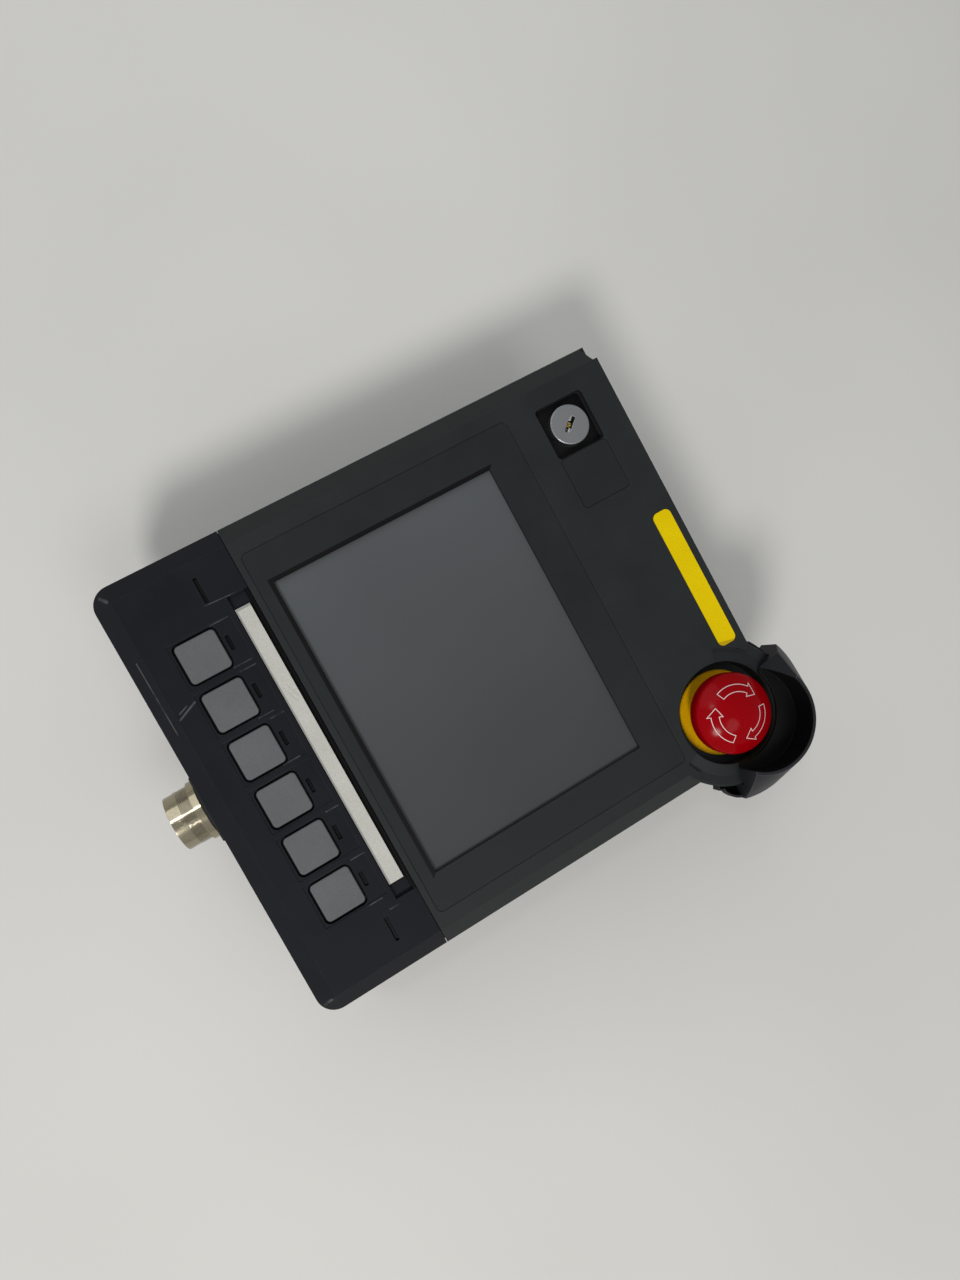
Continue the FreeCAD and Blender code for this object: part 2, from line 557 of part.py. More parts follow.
def make_front_bezel():
    body = new_body("front_bezel")
    low_y = f"({SEAM_Y} + seam_gap / 2)"
    middle = f"({low_y} + {HALF_H}) / 2"
    block = ("body_width", f"{HALF_H} - {low_y}")
    slab(body, "bezel_block", ("0", middle, FRONT_Z), block, f"face_z - {FRONT_Z}")
    dress(body, "Chamfer", lambda e: at_height(e, "face_z") and near(e.BoundBox.XLength, "0"), "edge_chamfer")
    shell(body, lambda f: near(f.CenterOfMass.z, FRONT_Z) or near(f.CenterOfMass.y, low_y), "wall")
    for side in ("-", ""):
        spot = (f"{side}({HALF_W} - edge_chamfer / 2)", f"{HALF_H} - notch_height / 2", "face_z")
        name = "left_notch" if side else "right_notch"
        slab(body, name, spot, ("edge_chamfer", "notch_height"), "edge_chamfer", cut=True, up=False)
    # Tongue that carries the edge of the key panel
    tongue_z = f"({INNER_Z} - seam_gap - tongue_thick)"
    size = ("2 * chassis_post_x", "tongue_reach + wall / 2")
    slab(body, "tongue", ("0", f"{low_y} + wall / 2 - ({size[1]}) / 2", tongue_z), size, "tongue_thick")
    root = ("0", f"{low_y} + wall / 4", tongue_z)
    slab(body, "tongue_root", root, (size[0], "wall / 2"), "tongue_thick + wall / 2")
    # Round boss with the well, sunk ring and mounting hole of the stop switch
    boss = ("stop_x", "stop_y", FRONT_Z)
    disc(body, "bezel_boss", boss, "2 * boss_radius", f"face_z - {FRONT_Z}")
    disc(body, "bezel_boss_inside", boss, "2 * (boss_radius - wall)", f"{PANEL_Z} - {FRONT_Z}", cut=True)
    disc(body, "stop_well", ("stop_x", "stop_y", WELL_Z), "2 * well_radius", "well_depth", cut=True)
    ring_z = "(face_z - ring_low)"
    ring = [
        ("well_radius - 1", "face_z - ring_high"),
        ("ring_radius - 1", ring_z),
        ("ring_radius", ring_z),
        ("ring_radius", "face_z + 1"),
        ("well_radius - 1", "face_z + 1"),
    ]
    edge = [
        ("ring_radius - 0.5", ring_z),
        ("boss_radius - rim_slope", ring_z),
        ("boss_radius + fit_gap", f"{ring_z} - rim_slope - fit_gap"),
        ("boss_radius + fit_gap", "face_z + 1"),
        ("ring_radius - 0.5", "face_z + 1"),
    ]
    for name, corners, span, heading in [
        ("sunk_ring", ring, "ring_span", "guard_angle"),
        ("boss_edge", edge, "rim_span", "guard_angle - rim_turn"),
    ]:
        groove = turn(body, name, corners, ("stop_x", "0", "-stop_y"), span, cut=True)
        sketch = groove.Profile[0]
        turned = FreeCAD.Rotation(FreeCAD.Vector(0, 1, 0), value(heading))
        sketch.AttachmentOffset = FreeCAD.Placement(sketch.AttachmentOffset.Base, turned)
        bind(sketch, "AttachmentOffset.Rotation.Angle", heading)
        doc.recompute()
    disc(body, "stop_opening", ("stop_x", "stop_y", PANEL_Z), "stop_hole", "panel_thick + 1", cut=True)
    # Screen window with the recesses for sheet and glass
    sheet_size = ("overlay_width", "overlay_height")
    sheet = ("0", "overlay_y", "face_z")
    slab(body, "sheet_recess", sheet, sheet_size, "overlay_thick", "overlay_radius", True, up=False)
    slab(body, "window", ("0", "0", INNER_Z), ("screen_width", "screen_height"), "wall", cut=True)
    glass = ("touch_width + 2 * fit_gap", "touch_height + 2 * fit_gap")
    slab(body, "glass_recess", ("0", "0", INNER_Z), glass, "wall - touch_depth", cut=True)
    # Square fields of the key switch and the blank plate
    field = ("switch_side", "switch_side")
    slab(body, "switch_opening", ("switch_x", "switch_y", INNER_Z), field, "wall", "key_radius", cut=True)
    blank = ("blank_x", "switch_y", "face_z")
    slab(body, "blank_recess", blank, field, "blank_thick", "key_radius", True, up=False)
    top = f"({INNER_Z} + wall / 4)"
    add_posts(body, "bezel_post", BEZEL_SCREWS, FRONT_Z, top)
    spots = [(f"{x}chassis_post_x", f"{y}chassis_post_y") for x, y in QUARTERS]
    add_posts(body, "chassis_post", spots, CHASSIS_Z, top)


def make_key_panel():
    body = new_body("key_panel")
    top_y = f"({SEAM_Y} - seam_gap / 2)"
    size = ("body_width", f"{top_y} + {HALF_H}")
    slab(body, "panel_block", ("0", f"({top_y} - {HALF_H}) / 2", FRONT_Z), size, f"face_z - {FRONT_Z}")
    dress(body, "Fillet", lambda e: upright(e) and near(e.BoundBox.YMin, f"-{HALF_H}"), "corner_radius")
    low_y = f"-{HALF_H}"
    dress(body, "Chamfer", lambda e: at_height(e, "face_z") and near(e.BoundBox.YMax, low_y), "edge_chamfer")
    # Hollow that follows the sloping edges, open towards the seam
    sections = []
    for height, inset, radius in [
        (FRONT_Z, "wall", "corner_radius - wall"),
        ("face_z - edge_chamfer - 0.41 * wall", "wall", "corner_radius - wall"),
        (INNER_Z, "(edge_chamfer + 0.41 * wall)", "key_edge"),
    ]:
        reach = f"({top_y} + {HALF_H} + wall - {inset})"
        at = ("0", f"{top_y} + wall - {reach} / 2", height)
        sections.append((at, (f"body_width - 2 * {inset}", reach), radius))
    loft(body, "panel_inside", sections, cut=True)
    first_x = f"-key_pitch * {(KEY_COUNT - 1) / 2}"
    cell_y = "(cell_top_y + cell_bottom_y) / 2"
    cell_size = ("cell_width", "cell_top_y - cell_bottom_y")
    spot = (first_x, cell_y, "face_z")
    cell = slab(body, "key_cell", spot, cell_size, "cell_depth", "key_edge", True, up=False)
    repeat(body, cell, "H_Axis", "key_pitch", KEY_COUNT)
    hole_size = ("key_width + 2 * key_gap", "key_height + 2 * key_gap")
    spot = (first_x, "key_y", INNER_Z)
    hole = slab(body, "key_hole", spot, hole_size, "wall", "key_radius + key_gap", cut=True)
    repeat(body, hole, "H_Axis", "key_pitch", KEY_COUNT)
    lamp = slab(body, "lamp_hole", (first_x, "led_y", INNER_Z), ("led_width", "led_height"), "wall", cut=True)
    repeat(body, lamp, "H_Axis", "key_pitch", KEY_COUNT)
    spot = ("-lamp_x", "led_y", INNER_Z)
    wide = slab(body, "wide_lamp_hole", spot, ("lamp_width", "led_height"), "wall", cut=True)
    repeat(body, wide, "H_Axis", "2 * lamp_x", 2)
    slot = ("(label_left + label_right) / 2", "(label_bottom + label_top) / 2", "face_z")
    slot_size = ("label_right - label_left", "label_top - label_bottom")
    slab(body, "label_slot", slot, slot_size, "label_depth", cut=True, up=False)
    top = f"({INNER_Z} + wall / 4)"
    add_posts(body, "panel_post", PANEL_SCREWS, FRONT_Z, top)
    spots = [("-key_post_x", "key_y"), ("key_post_x", "key_y")]
    add_posts(body, "key_post", spots, MAT_Z, top)


def make_rear_cover():
    body = new_body("rear_cover")
    slab(body, "cover_block", ("0", "0", "back_z"), ("body_width", "body_height"), "parting_z - back_z")
    dress(body, "Fillet", lambda e: upright(e) and near(e.BoundBox.YMin, f"-{HALF_H}"), "corner_radius")
    dress(body, "Fillet", lambda e: at_height(e, "back_z"), "back_round")
    turn(body, "cover_boss", [
        ("0", "boss_back_z"),
        ("boss_radius - wall", "boss_back_z"),
        ("boss_radius", "boss_back_z + wall"),
        ("boss_radius", "parting_z"),
        ("0", "parting_z"),
    ], ("stop_x", "0", "-stop_y"))
    # Hand hump with its hollow
    top_size = ("hump_width", "hump_height")
    low_size = ("hump_width - 2 * hump_draft", "hump_height - 2 * hump_draft")
    inner_back = ("0", "0", "back_z + wall")
    loft(body, "hump", [(("0", "0", "0"), low_size, "hump_radius"), (inner_back, top_size, "hump_radius")])
    dress(body, "Fillet", lambda e: at_height(e, "0"), "hump_round")
    pad = f"{HALF_H} + connector_pad"
    pad_size = ("flange_width + pad_more", "flange_width")
    socket = ("0", "connector_z", pad)
    slab(body, "socket_pad", socket, pad_size, "back_round", "key_radius", False, "XZ_Plane", False)
    inside = ("body_width - 2 * wall", "body_height - 2 * wall")
    depth = "parting_z - back_z - wall"
    slab(body, "cover_inside", inner_back, inside, depth, "corner_radius - wall", cut=True)
    boss_depth = "parting_z - boss_back_z - wall"
    boss = ("stop_x", "stop_y", "boss_back_z + wall")
    disc(body, "cover_boss_inside", boss, "2 * (boss_radius - wall)", boss_depth, cut=True)
    top_hollow = ("hump_width - 2 * wall", "hump_height - 2 * wall")
    low_hollow = ("hump_width - 2 * hump_draft - 2 * wall", "hump_height - 2 * hump_draft - 2 * wall")
    floor = ("0", "0", "hump_floor")
    inner_radius = "hump_radius - wall"
    sections = [(floor, low_hollow, inner_radius), (inner_back, top_hollow, inner_radius)]
    loft(body, "hump_inside", sections, cut=True)
    disc(body, "socket_hole", socket, "connector_hole", "back_round + wall", True, "XZ_Plane", False)
    # Window and lugs of the grip lever
    window = ("0", "(lever_top_z + lever_low_z) / 2", "hump_width / 2 + lever_proud")
    opening = ("lever_length + 2 * lever_gap", "lever_top_z - lever_low_z + 2 * lever_gap")
    depth = "hump_draft + 2 * wall + lever_proud"
    slab(body, "lever_window", window, opening, depth, "key_edge", True, "YZ_Plane", False)
    reach = "(lever_length / 2 + lever_gap)"
    for number, offset in enumerate([f"-({reach} + lug_width)", reach]):
        lug = ("pivot_x - pin_width / 2", "pivot_z", offset)
        slab(body, f"lug_{number}", lug, ("2.3 * pin_width", "3 * pin_width"), "lug_width", plane="XZ_Plane")
    pin = ("pivot_x", "pivot_z", f"-({reach} + lug_width - fit_gap)")
    length = f"2 * ({reach} + lug_width - fit_gap)"
    disc(body, "pin_hole", pin, "pin_width + 2 * run_gap", length, True, "XZ_Plane")
    # Strap channel, anchor holes and housing screw posts
    channel = ("strap_width + 2 * strap_side", "hump_height + 2 * wall")
    slab(body, "strap_channel", ("strap_x", "0", "0"), channel, "channel_depth", cut=True)
    for number, (x, y) in enumerate(ANCHOR_SCREWS):
        disc(body, f"anchor_hole_{number}", (x, y, "back_z"), "screw_shank + fit_gap", "wall", cut=True)
    for number, (x, y) in enumerate(BEZEL_SCREWS + PANEL_SCREWS):
        low = "(back_z + wall / 2)"
        disc(body, f"cover_post_{number}", (x, y, low), "screw_head + wall", f"parting_z - {low}")
        width = "screw_shank + 2 * fit_gap"
        disc(body, f"cover_hole_{number}", (x, y, "back_z"), width, "parting_z", cut=True)
        sink = "screw_sink + screw_head_thick"
        disc(body, f"head_sink_{number}", (x, y, "back_z"), "screw_head + 2 * fit_gap", sink, cut=True)


def make_housing_gasket():
    body = new_body("housing_gasket")
    inset = "gasket_inset"
    outer = (f"body_width - 2 * {inset}", f"body_height - 2 * {inset}")
    inner = ("body_width - 2 * wall + 2 * fit_gap", "body_height - 2 * wall + 2 * fit_gap")
    at = ("0", "0", "parting_z")
    boss = ("stop_x", "stop_y", "parting_z")
    slab(body, "gasket_block", at, outer, "gasket_thick", f"corner_radius - {inset}")
    disc(body, "gasket_boss", boss, f"2 * (boss_radius - {inset})", "gasket_thick")
    slab(body, "gasket_inside", at, inner, "gasket_thick", "corner_radius - wall", cut=True)
    disc(body, "gasket_boss_inside", boss, "2 * (boss_radius - wall + fit_gap)", "gasket_thick", cut=True)


def make_screws(name, spots, head_z, shank_end):
    body = new_body(name)
    body.AllowCompound = True
    for number, (x, y) in enumerate(spots):
        disc(body, f"{name}_head_{number}", (x, y, head_z), "screw_head", "screw_head_thick")
        shank = f"{shank_end} - ({head_z}) - screw_head_thick"
        disc(body, f"{name}_shank_{number}", (x, y, f"{head_z} + screw_head_thick"), "screw_shank", shank)
        disc(body, f"{name}_socket_{number}", (x, y, head_z), "screw_shank", "screw_head_thick / 2", cut=True)


def make_plate(name, at, size, height, radius=None, holes=()):
    body = new_body(name)
    slab(body, name + "_plate", at, size, height, radius)
    for number, (x, y) in enumerate(holes):
        disc(body, f"{name}_hole_{number}", (x, y, at[2]), "screw_shank + fit_gap", height, cut=True)
    return body


def make_frame(name, at, size, height, inner, radius=None):
    body = make_plate(name, at, size, height, radius)
    slab(body, name + "_window", ("0", "0", at[2]), inner, height, cut=True)


def make_display():
    size = ("overlay_width - 2 * fit_gap", "overlay_height - 2 * fit_gap")
    screen = ("screen_width", "screen_height")
    at = ("0", "overlay_y", "face_z - overlay_thick")
    make_frame("overlay_sheet", at, size, "overlay_thick", screen, "overlay_radius - fit_gap")
    glass = ("touch_width", "touch_height")
    make_plate("touch_panel", ("0", "0", f"{TOUCH_Z} - touch_thick"), glass, "touch_thick")
    make_frame("display_gasket", ("0", "0", LCD_Z), glass, "display_gasket_thick", screen)
    module = ("lcd_width", "lcd_height")
    make_plate("lcd_panel", ("0", "0", f"{LCD_Z} - lcd_thick"), module, "lcd_thick")
    make_plate("lcd_backlight", ("0", "0", CHASSIS_Z), module, "backlight_thick", "key_radius")


def make_inside():
    spots = [(f"{x}chassis_post_x", f"{y}chassis_post_y") for x, y in QUARTERS]
    low = f"({CHASSIS_Z} - chassis_thick)"
    size = ("chassis_width", "chassis_height")
    make_plate("chassis_plate", ("0", "0", low), size, "chassis_thick", "key_radius", spots)
    make_screws("chassis_screws", spots, f"{low} - screw_head_thick", f"{CHASSIS_Z} + post_width")
    body = new_body("board_standoffs")
    body.AllowCompound = True
    for number, (x, y) in enumerate(QUARTERS):
        at = (f"{x}standoff_x", f"{y}standoff_y", BOARD_Z)
        disc(body, f"standoff_{number}", at, "standoff_width", "standoff_length")
    board_low = f"({BOARD_Z} - board_thick)"
    size = ("board_width", "board_height")
    make_plate("main_board", ("0", "0", board_low), size, "board_thick", "key_radius")
    chips = new_body("board_components")
    chips.AllowCompound = True
    for number, (x, y, width, height, thick) in enumerate([
        ("-board_width / 4", "board_height / 4", "chip_side", "chip_side", "chip_thick"),
        ("0", "board_height / 4", "memory_width", "memory_height", "chip_thick"),
        ("board_width / 6", "board_height / 4", "memory_width", "memory_height", "chip_thick"),
        ("board_width / 3", "-board_height / 6", "chip_side", "converter_height", "plug_thick"),
        ("0", "-board_height / 2 + plug_thick", "converter_height", "plug_thick", "plug_thick"),
    ]):
        slab(chips, f"chip_{number}", (x, y, board_low), (width, height), thick, up=False)
    battery = new_body("backup_battery")
    at = ("-hump_width / 4", f"{board_low} - battery_width / 2", "battery_length / 2")
    disc(battery, "battery_can", at, "battery_width", "battery_length", plane="XZ_Plane", up=False)


def make_keys():
    for number in range(KEY_COUNT):
        name = f"function_key_{number + 1}"
        body = new_body(name, (f"key_pitch * {number - (KEY_COUNT - 1) / 2}", "key_y", "0"))
        seat = f"({INNER_Z} - seat_gap)"
        size = ("key_width", "key_height")
        slab(body, name + "_cap", ("0", "0", seat), size, f"face_z - key_sink - {seat}", "key_radius")
        dress(body, "Fillet", lambda e: at_height(e, "face_z - key_sink"), "key_edge")
        edge = ("key_width + 2 * key_flange", "key_height + 2 * key_flange")
        slab(body, name + "_edge", ("0", "0", seat), edge, "key_travel", "key_radius", up=False)
        stem_low = "(face_z - stem_depth)"
        disc(body, name + "_stem", ("0", "0", stem_low), "plunger_width", f"{seat} - {stem_low}")
    first_x = f"-key_pitch * {(KEY_COUNT - 1) / 2}"
    mat = new_body("keypad_mat")
    sheet = (f"key_pitch * {KEY_COUNT}", "mat_height")
    slab(mat, "mat_sheet", ("0", "key_y", MAT_Z), sheet, "mat_thick", "key_radius")
    dome = disc(mat, "mat_dome", (first_x, "key_y", f"{MAT_Z} + mat_thick"), "dome_width", "dome_height")
    repeat(mat, dome, "H_Axis", "key_pitch", KEY_COUNT)
    spots = [("-key_post_x", "key_y"), ("key_post_x", "key_y")]
    at = ("0", "key_board_y", f"{MAT_Z} - board_thick")
    size = ("key_board_width", "key_board_height")
    make_plate("key_board", at, size, "board_thick", "key_radius", spots)
    head_z = f"{MAT_Z} - board_thick - screw_head_thick"
    make_screws("key_board_screws", spots, head_z, f"{MAT_Z} + post_width / 2")
    leds = new_body("key_leds")
    leds.AllowCompound = True
    rise = f"face_z - cell_depth - led_sink - {MAT_Z}"
    narrow = ("led_width - 2 * fit_gap", "led_height - 2 * fit_gap")
    led = slab(leds, "key_led", (first_x, "led_y", MAT_Z), narrow, rise)
    repeat(leds, led, "H_Axis", "key_pitch", KEY_COUNT)
    wide = ("lamp_width - 2 * fit_gap", "led_height - 2 * fit_gap")
    make_plate("power_led", ("-lamp_x", "led_y", MAT_Z), wide, rise)
    make_plate("grip_led", ("lamp_x", "led_y", MAT_Z), wide, rise)
    at = ("strip_x", "strip_y", "face_z - label_depth")
    make_plate("label_strip", at, ("strip_width", "strip_height"), "strip_thick")


def make_key_switch():
    plate_z = f"({INNER_Z} - holder_thick)"
    top_z = "(face_z - switch_sink)"
    body = new_body("key_switch_holder", ("switch_x", "switch_y", "0"))
    barrel_z = "(face_z - holder_length)"
    disc(body, "holder_barrel", ("0", "0", barrel_z), "holder_width", f"{plate_z} - {barrel_z}")
    edge = ("switch_side + 2 * holder_edge", "switch_side + 2 * holder_edge")
    slab(body, "holder_block", ("0", "0", plate_z), edge, f"{INNER_Z} - {plate_z}")
    field = ("switch_side", "switch_side")
    slab(body, "holder_tray", ("0", "0", top_z), field, f"{INNER_Z} - {top_z}", "key_radius", cut=True)
    bore = ("0", "0", "face_z - lock_length - seat_gap")
    disc(body, "holder_bore", bore, "lock_shaft + 2 * run_gap", "lock_length", cut=True)
    lock = new_body("key_cylinder", ("switch_x", "switch_y", "0"))
    bind(lock, "Placement.Rotation.Angle", "keyway_angle")
    low = "(face_z - lock_length)"
    seat = f"({top_z} + seat_gap)"
    disc(lock, "lock_shaft", ("0", "0", low), "lock_shaft", f"{seat} - {low}")
    disc(lock, "lock_face", ("0", "0", seat), "lock_width", f"face_z + lock_proud - {seat}")
    dress(lock, "Fillet", lambda e: at_height(e, "face_z + lock_proud"), "key_edge")
    keyway = ("0", "0", "face_z + lock_proud")
    slot = ("keyway_width", "keyway_length")
    slab(lock, "keyway", keyway, slot, "keyway_depth", "key_edge", True, up=False)
    contact = ("switch_x", "switch_y", "back_z + 2 * wall")
    contact_height = "face_z - holder_length - back_z - 2 * wall"
    make_plate("key_contact_block", contact, ("contact_side", "contact_side"), contact_height)
    blank = ("blank_x", "switch_y", "face_z - blank_thick")
    field = ("switch_side - 2 * fit_gap", "switch_side - 2 * fit_gap")
    make_plate("blank_plate", blank, field, "blank_thick", "key_radius - fit_gap")


def make_stop_switch():
    size = ("plate_right - plate_left", "plate_height")
    at = ("(plate_right + plate_left) / 2", "plate_y", "face_z")
    make_plate("stop_nameplate", at, size, "plate_thick", "plate_height * 0.3")
    centre = ("stop_x", "stop_y", "0")
    neck = "(stop_hole - 2 * fit_gap)"
    collar = new_body("estop_collar", centre)
    disc(collar, "collar_ring", ("0", "0", WELL_Z), "collar_width", "collar_thick")
    dress(collar, "Chamfer", lambda e: at_height(e, f"{WELL_Z} + collar_thick"), "key_edge")
    disc(collar, "collar_hole", ("0", "0", WELL_Z), f"{neck} + 2 * run_gap", "collar_thick", cut=True)
    under = "(face_z - head_under)"
    top = "(face_z + head_top)"
    widest = "(face_z + head_rise)"
    bore = "(stop_stem / 2 + run_gap)"
    bore_top = f"({under} + {widest}) / 2 + stop_travel"
    dome = "head_top - head_rise"
    head = new_body("estop_head", centre)
    turn(head, "head_profile", [
        (bore, under),
        ("head_width / 2 - head_taper", under),
        ("head_width / 2", f"{under} + head_taper"),
        ("head_width / 2", widest),
        ("0", top, f"((head_width / 2) ^ 2 + ({dome}) ^ 2) / (2 * ({dome}))"),
        ("0", bore_top),
        (bore, bore_top),
    ])
    body_z = f"({PANEL_Z} - nut_thick)"
    body_low = "(boss_back_z + 4 * wall)"
    sleeve = f"({WELL_Z} + collar_thick - seat_gap)"
    stem_low = f"({body_low} + wall + stop_travel + seat_gap)"
    stem = new_body("estop_stem", centre)
    disc(stem, "stem_thick", ("0", "0", stem_low), "head_neck", f"{under} - seat_gap - {stem_low}")
    disc(stem, "stem_thin", ("0", "0", f"{under} - seat_gap"), "stop_stem", f"{bore_top} - ({under})")
    base = new_body("estop_body", centre)
    disc(base, "base_can", ("0", "0", body_low), "stop_body_width", f"{body_z} - {body_low}")
    disc(base, "base_sleeve", ("0", "0", body_z), neck, f"{sleeve} - {body_z}")
    bore_floor = ("0", "0", f"{body_low} + wall")
    disc(base, "base_bore", bore_floor, "head_neck + 2 * run_gap", "parting_z", cut=True)
    nut = new_body("estop_lock_nut", centre)
    disc(nut, "nut_ring", ("0", "0", body_z), "nut_width", "nut_thick")
    disc(nut, "nut_hole", ("0", "0", body_z), f"{neck} + 2 * run_gap", "nut_thick", cut=True)
    block = ("stop_x", "stop_y", "boss_back_z + wall + seat_gap")
    size = ("stop_block_width", "contact_side")
    make_plate("estop_contact_block", block, size, "3 * wall - seat_gap", "key_radius")


def make_guard():
    body = new_body("estop_guard", ("stop_x", "stop_y", "0"))
    bind(body, "Placement.Rotation.Angle", "guard_angle")
    foot = "(face_z - guard_foot)"
    rim = "(face_z + guard_top)"
    shoulder = "(face_z - 1)"
    disc(body, "guard_skirt", ("0", "0", foot), "2 * guard_outer", f"{shoulder} - {foot}")
    loft(body, "guard_flare", [
        (("0", "0", shoulder), ("2 * guard_outer",), None),
        (("guard_offset", "0", rim), ("2 * (guard_inner + guard_rim)",), None),
    ])
    seat = "(face_z + guard_clear)"
    cup = ("guard_offset", "0", f"{seat} + guard_floor")
    disc(body, "guard_cup", cup, "2 * guard_inner", f"{rim} - {seat} - guard_floor", cut=True)
    clear = "2 * (boss_radius + guard_clear)"
    disc(body, "guard_seat", ("0", "0", foot), clear, f"{seat} - {foot}", cut=True)
    disc(body, "guard_hole", ("0", "0", seat), "2 * well_radius", "guard_floor", cut=True)
    # Open side towards the hand, then the clips that hold the boss
    far = "2 * guard_outer"
    wing = f"guard_end + {far} * cos(guard_wing)"
    aside = f"(guard_inner + {far} * sin(guard_wing))"
    mouth = new_sketch(body, "guard_mouth", ("0", "0", foot))
    draw_outline(mouth, [
        ("guard_end", "-guard_inner"),
        ("guard_end", "guard_inner"),
        (wing, aside),
        (f"-{far}", aside),
        (f"-{far}", f"-{aside}"),
        (wing, f"-{aside}"),
    ])
    extrude(body, mouth, f"{rim} - {foot}", cut=True)
    slope = [("guard_end", seat), ("guard_end + guard_lean", rim), ("guard_end", rim)]
    prism(body, "guard_slope", slope, ("0", "0", "0"), far, cut=True)
    clip_in = "boss_radius + guard_clear"
    turn(body, "guard_clip", [
        (clip_in, foot),
        (f"{clip_in} + tab_thick", foot),
        (f"{clip_in} + tab_thick", f"{foot} + tab_height"),
        (clip_in, f"{foot} + tab_height"),
    ], angle="tab_span")


def make_connector():
    plane = "YZ_Plane"
    axis = ("0", "connector_z", "0")
    pad_y = f"-({HALF_H} + connector_pad)"
    back_y = f"({pad_y} - seal_thick)"
    front_y = f"({back_y} - flange_thick)"
    tip_y = f"({front_y} - shell_length)"
    step_y = f"({tip_y} + socket_depth)"
    tail_y = f"({back_y} + connector_tail)"
    tail_r = "(connector_hole / 2 - fit_gap)"
    liner_r = f"({tail_r} - 2)"
    shell_body = new_body("connector_shell")
    profile = turn(shell_body, "shell_profile", [
        (tip_y, "socket_width / 2"),
        (tip_y, "shell_width / 2"),
        (front_y, "shell_width / 2"),
        (front_y, "flange_width / 2"),
        (back_y, "flange_width / 2"),
        (back_y, tail_r),
        (tail_y, tail_r),
        (tail_y, liner_r),
        (step_y, liner_r),
        (step_y, "socket_width / 2"),
    ], axis, plane=plane, axis="H_Axis")
    stud_at = ("0", f"{tip_y} + shell_length / 3", "connector_z + socket_width / 2 + fit_gap")
    stud = disc(shell_body, "stud", stud_at, "stud_width", "(shell_width - socket_width) / 2 + stud_rise")
    ring = shell_body.newObject("PartDesign::PolarPattern", "studs")
    ring.Originals = [stud]
    ring.Axis = (profile.Profile[0], ["H_Axis"])
    ring.Angle = 360
    ring.Occurrences = 3
    shell_body.Tip = ring
    insert = new_body("connector_insert")
    core = ("0", "connector_z", f"-{step_y}")
    core_length = f"{tail_y} - {step_y}"
    disc(insert, "insert_core", core, f"2 * ({liner_r} - run_gap)", core_length, False, "XZ_Plane", False)
    spot = ("0", f"connector_z + {liner_r} * 0.65", f"-{step_y}")
    hole = disc(insert, "contact_hole", spot, "contact_width", "contact_depth", True, "XZ_Plane", False)
    spin = new_sketch(insert, "contact_axis", ("0", "connector_z", "0"), "XZ_Plane")
    row = insert.newObject("PartDesign::PolarPattern", "contact_holes")
    row.Originals = [hole]
    row.Axis = (spin, ["N_Axis"])
    row.Angle = 360
    row.Occurrences = 12
    insert.Tip = row
    nut = new_body("connector_nut")
    wall_y = f"(-{HALF_H} + wall)"
    inside = ("0", "connector_z", f"-{wall_y}")
    bore = f"2 * ({tail_r} + run_gap)"
    disc(nut, "connector_nut_ring", inside, "nut_ring_width", "flange_thick", False, "XZ_Plane", False)
    disc(nut, "connector_nut_hole", inside, bore, "flange_thick", True, "XZ_Plane", False)
    seal = new_body("connector_gasket")
    outside = ("0", "connector_z", f"-{back_y}")
    disc(seal, "seal_ring", outside, "flange_width - gasket_inset", "seal_thick", False, "XZ_Plane", False)
    disc(seal, "seal_hole", outside, bore, "seal_thick", True, "XZ_Plane", False)


def make_grip_switch():
    side = "(hump_width / 2 - hump_draft + lever_proud / 3)"
    slope = "hump_draft / (back_z + wall)"
    lever = new_body("grip_lever")
    prism(lever, "lever_profile", [
        ("lever_inner_x", "lever_low_z"),
        (f"{side} + lever_low_z * {slope}", "lever_low_z"),
        (f"{side} + lever_top_z * {slope}", "lever_top_z", "lever_length / 2"),
        ("lever_inner_x", "lever_top_z"),
    ], ("0", "0", "0"), "lever_length")
    hole = ("pivot_x", "pivot_z", "-lever_length / 2 - 1")
    disc(lever, "lever_hole", hole, "pin_width + 2 * run_gap", "lever_length + 2", True, "XZ_Plane")
    reach = "(lever_length / 2 + lever_gap + lug_width - 2 * fit_gap)"
    pin = new_body("grip_pivot_pin")
    disc(pin, "pivot_pin", ("pivot_x", "pivot_z", f"-{reach}"), "pin_width", f"2 * {reach}", plane="XZ_Plane")
    block = new_body("enable_switch")
    at = ("enable_x + enable_length / 2", "0", "hump_floor")
    slab(block, "enable_block", at, ("enable_length", "enable_width"), "enable_height", "key_radius")
    mouth = ("0", "plunger_z", "enable_x + enable_length")
    bore = "plunger_width + 2 * run_gap"
    disc(block, "enable_bore", mouth, bore, "enable_length / 2", True, "YZ_Plane", False)
    plunger = new_body("enable_plunger")
    start = ("0", "plunger_z", "lever_inner_x - plunger_gap - plunger_length")
    disc(plunger, "plunger_rod", start, "plunger_width", "plunger_length", plane="YZ_Plane")


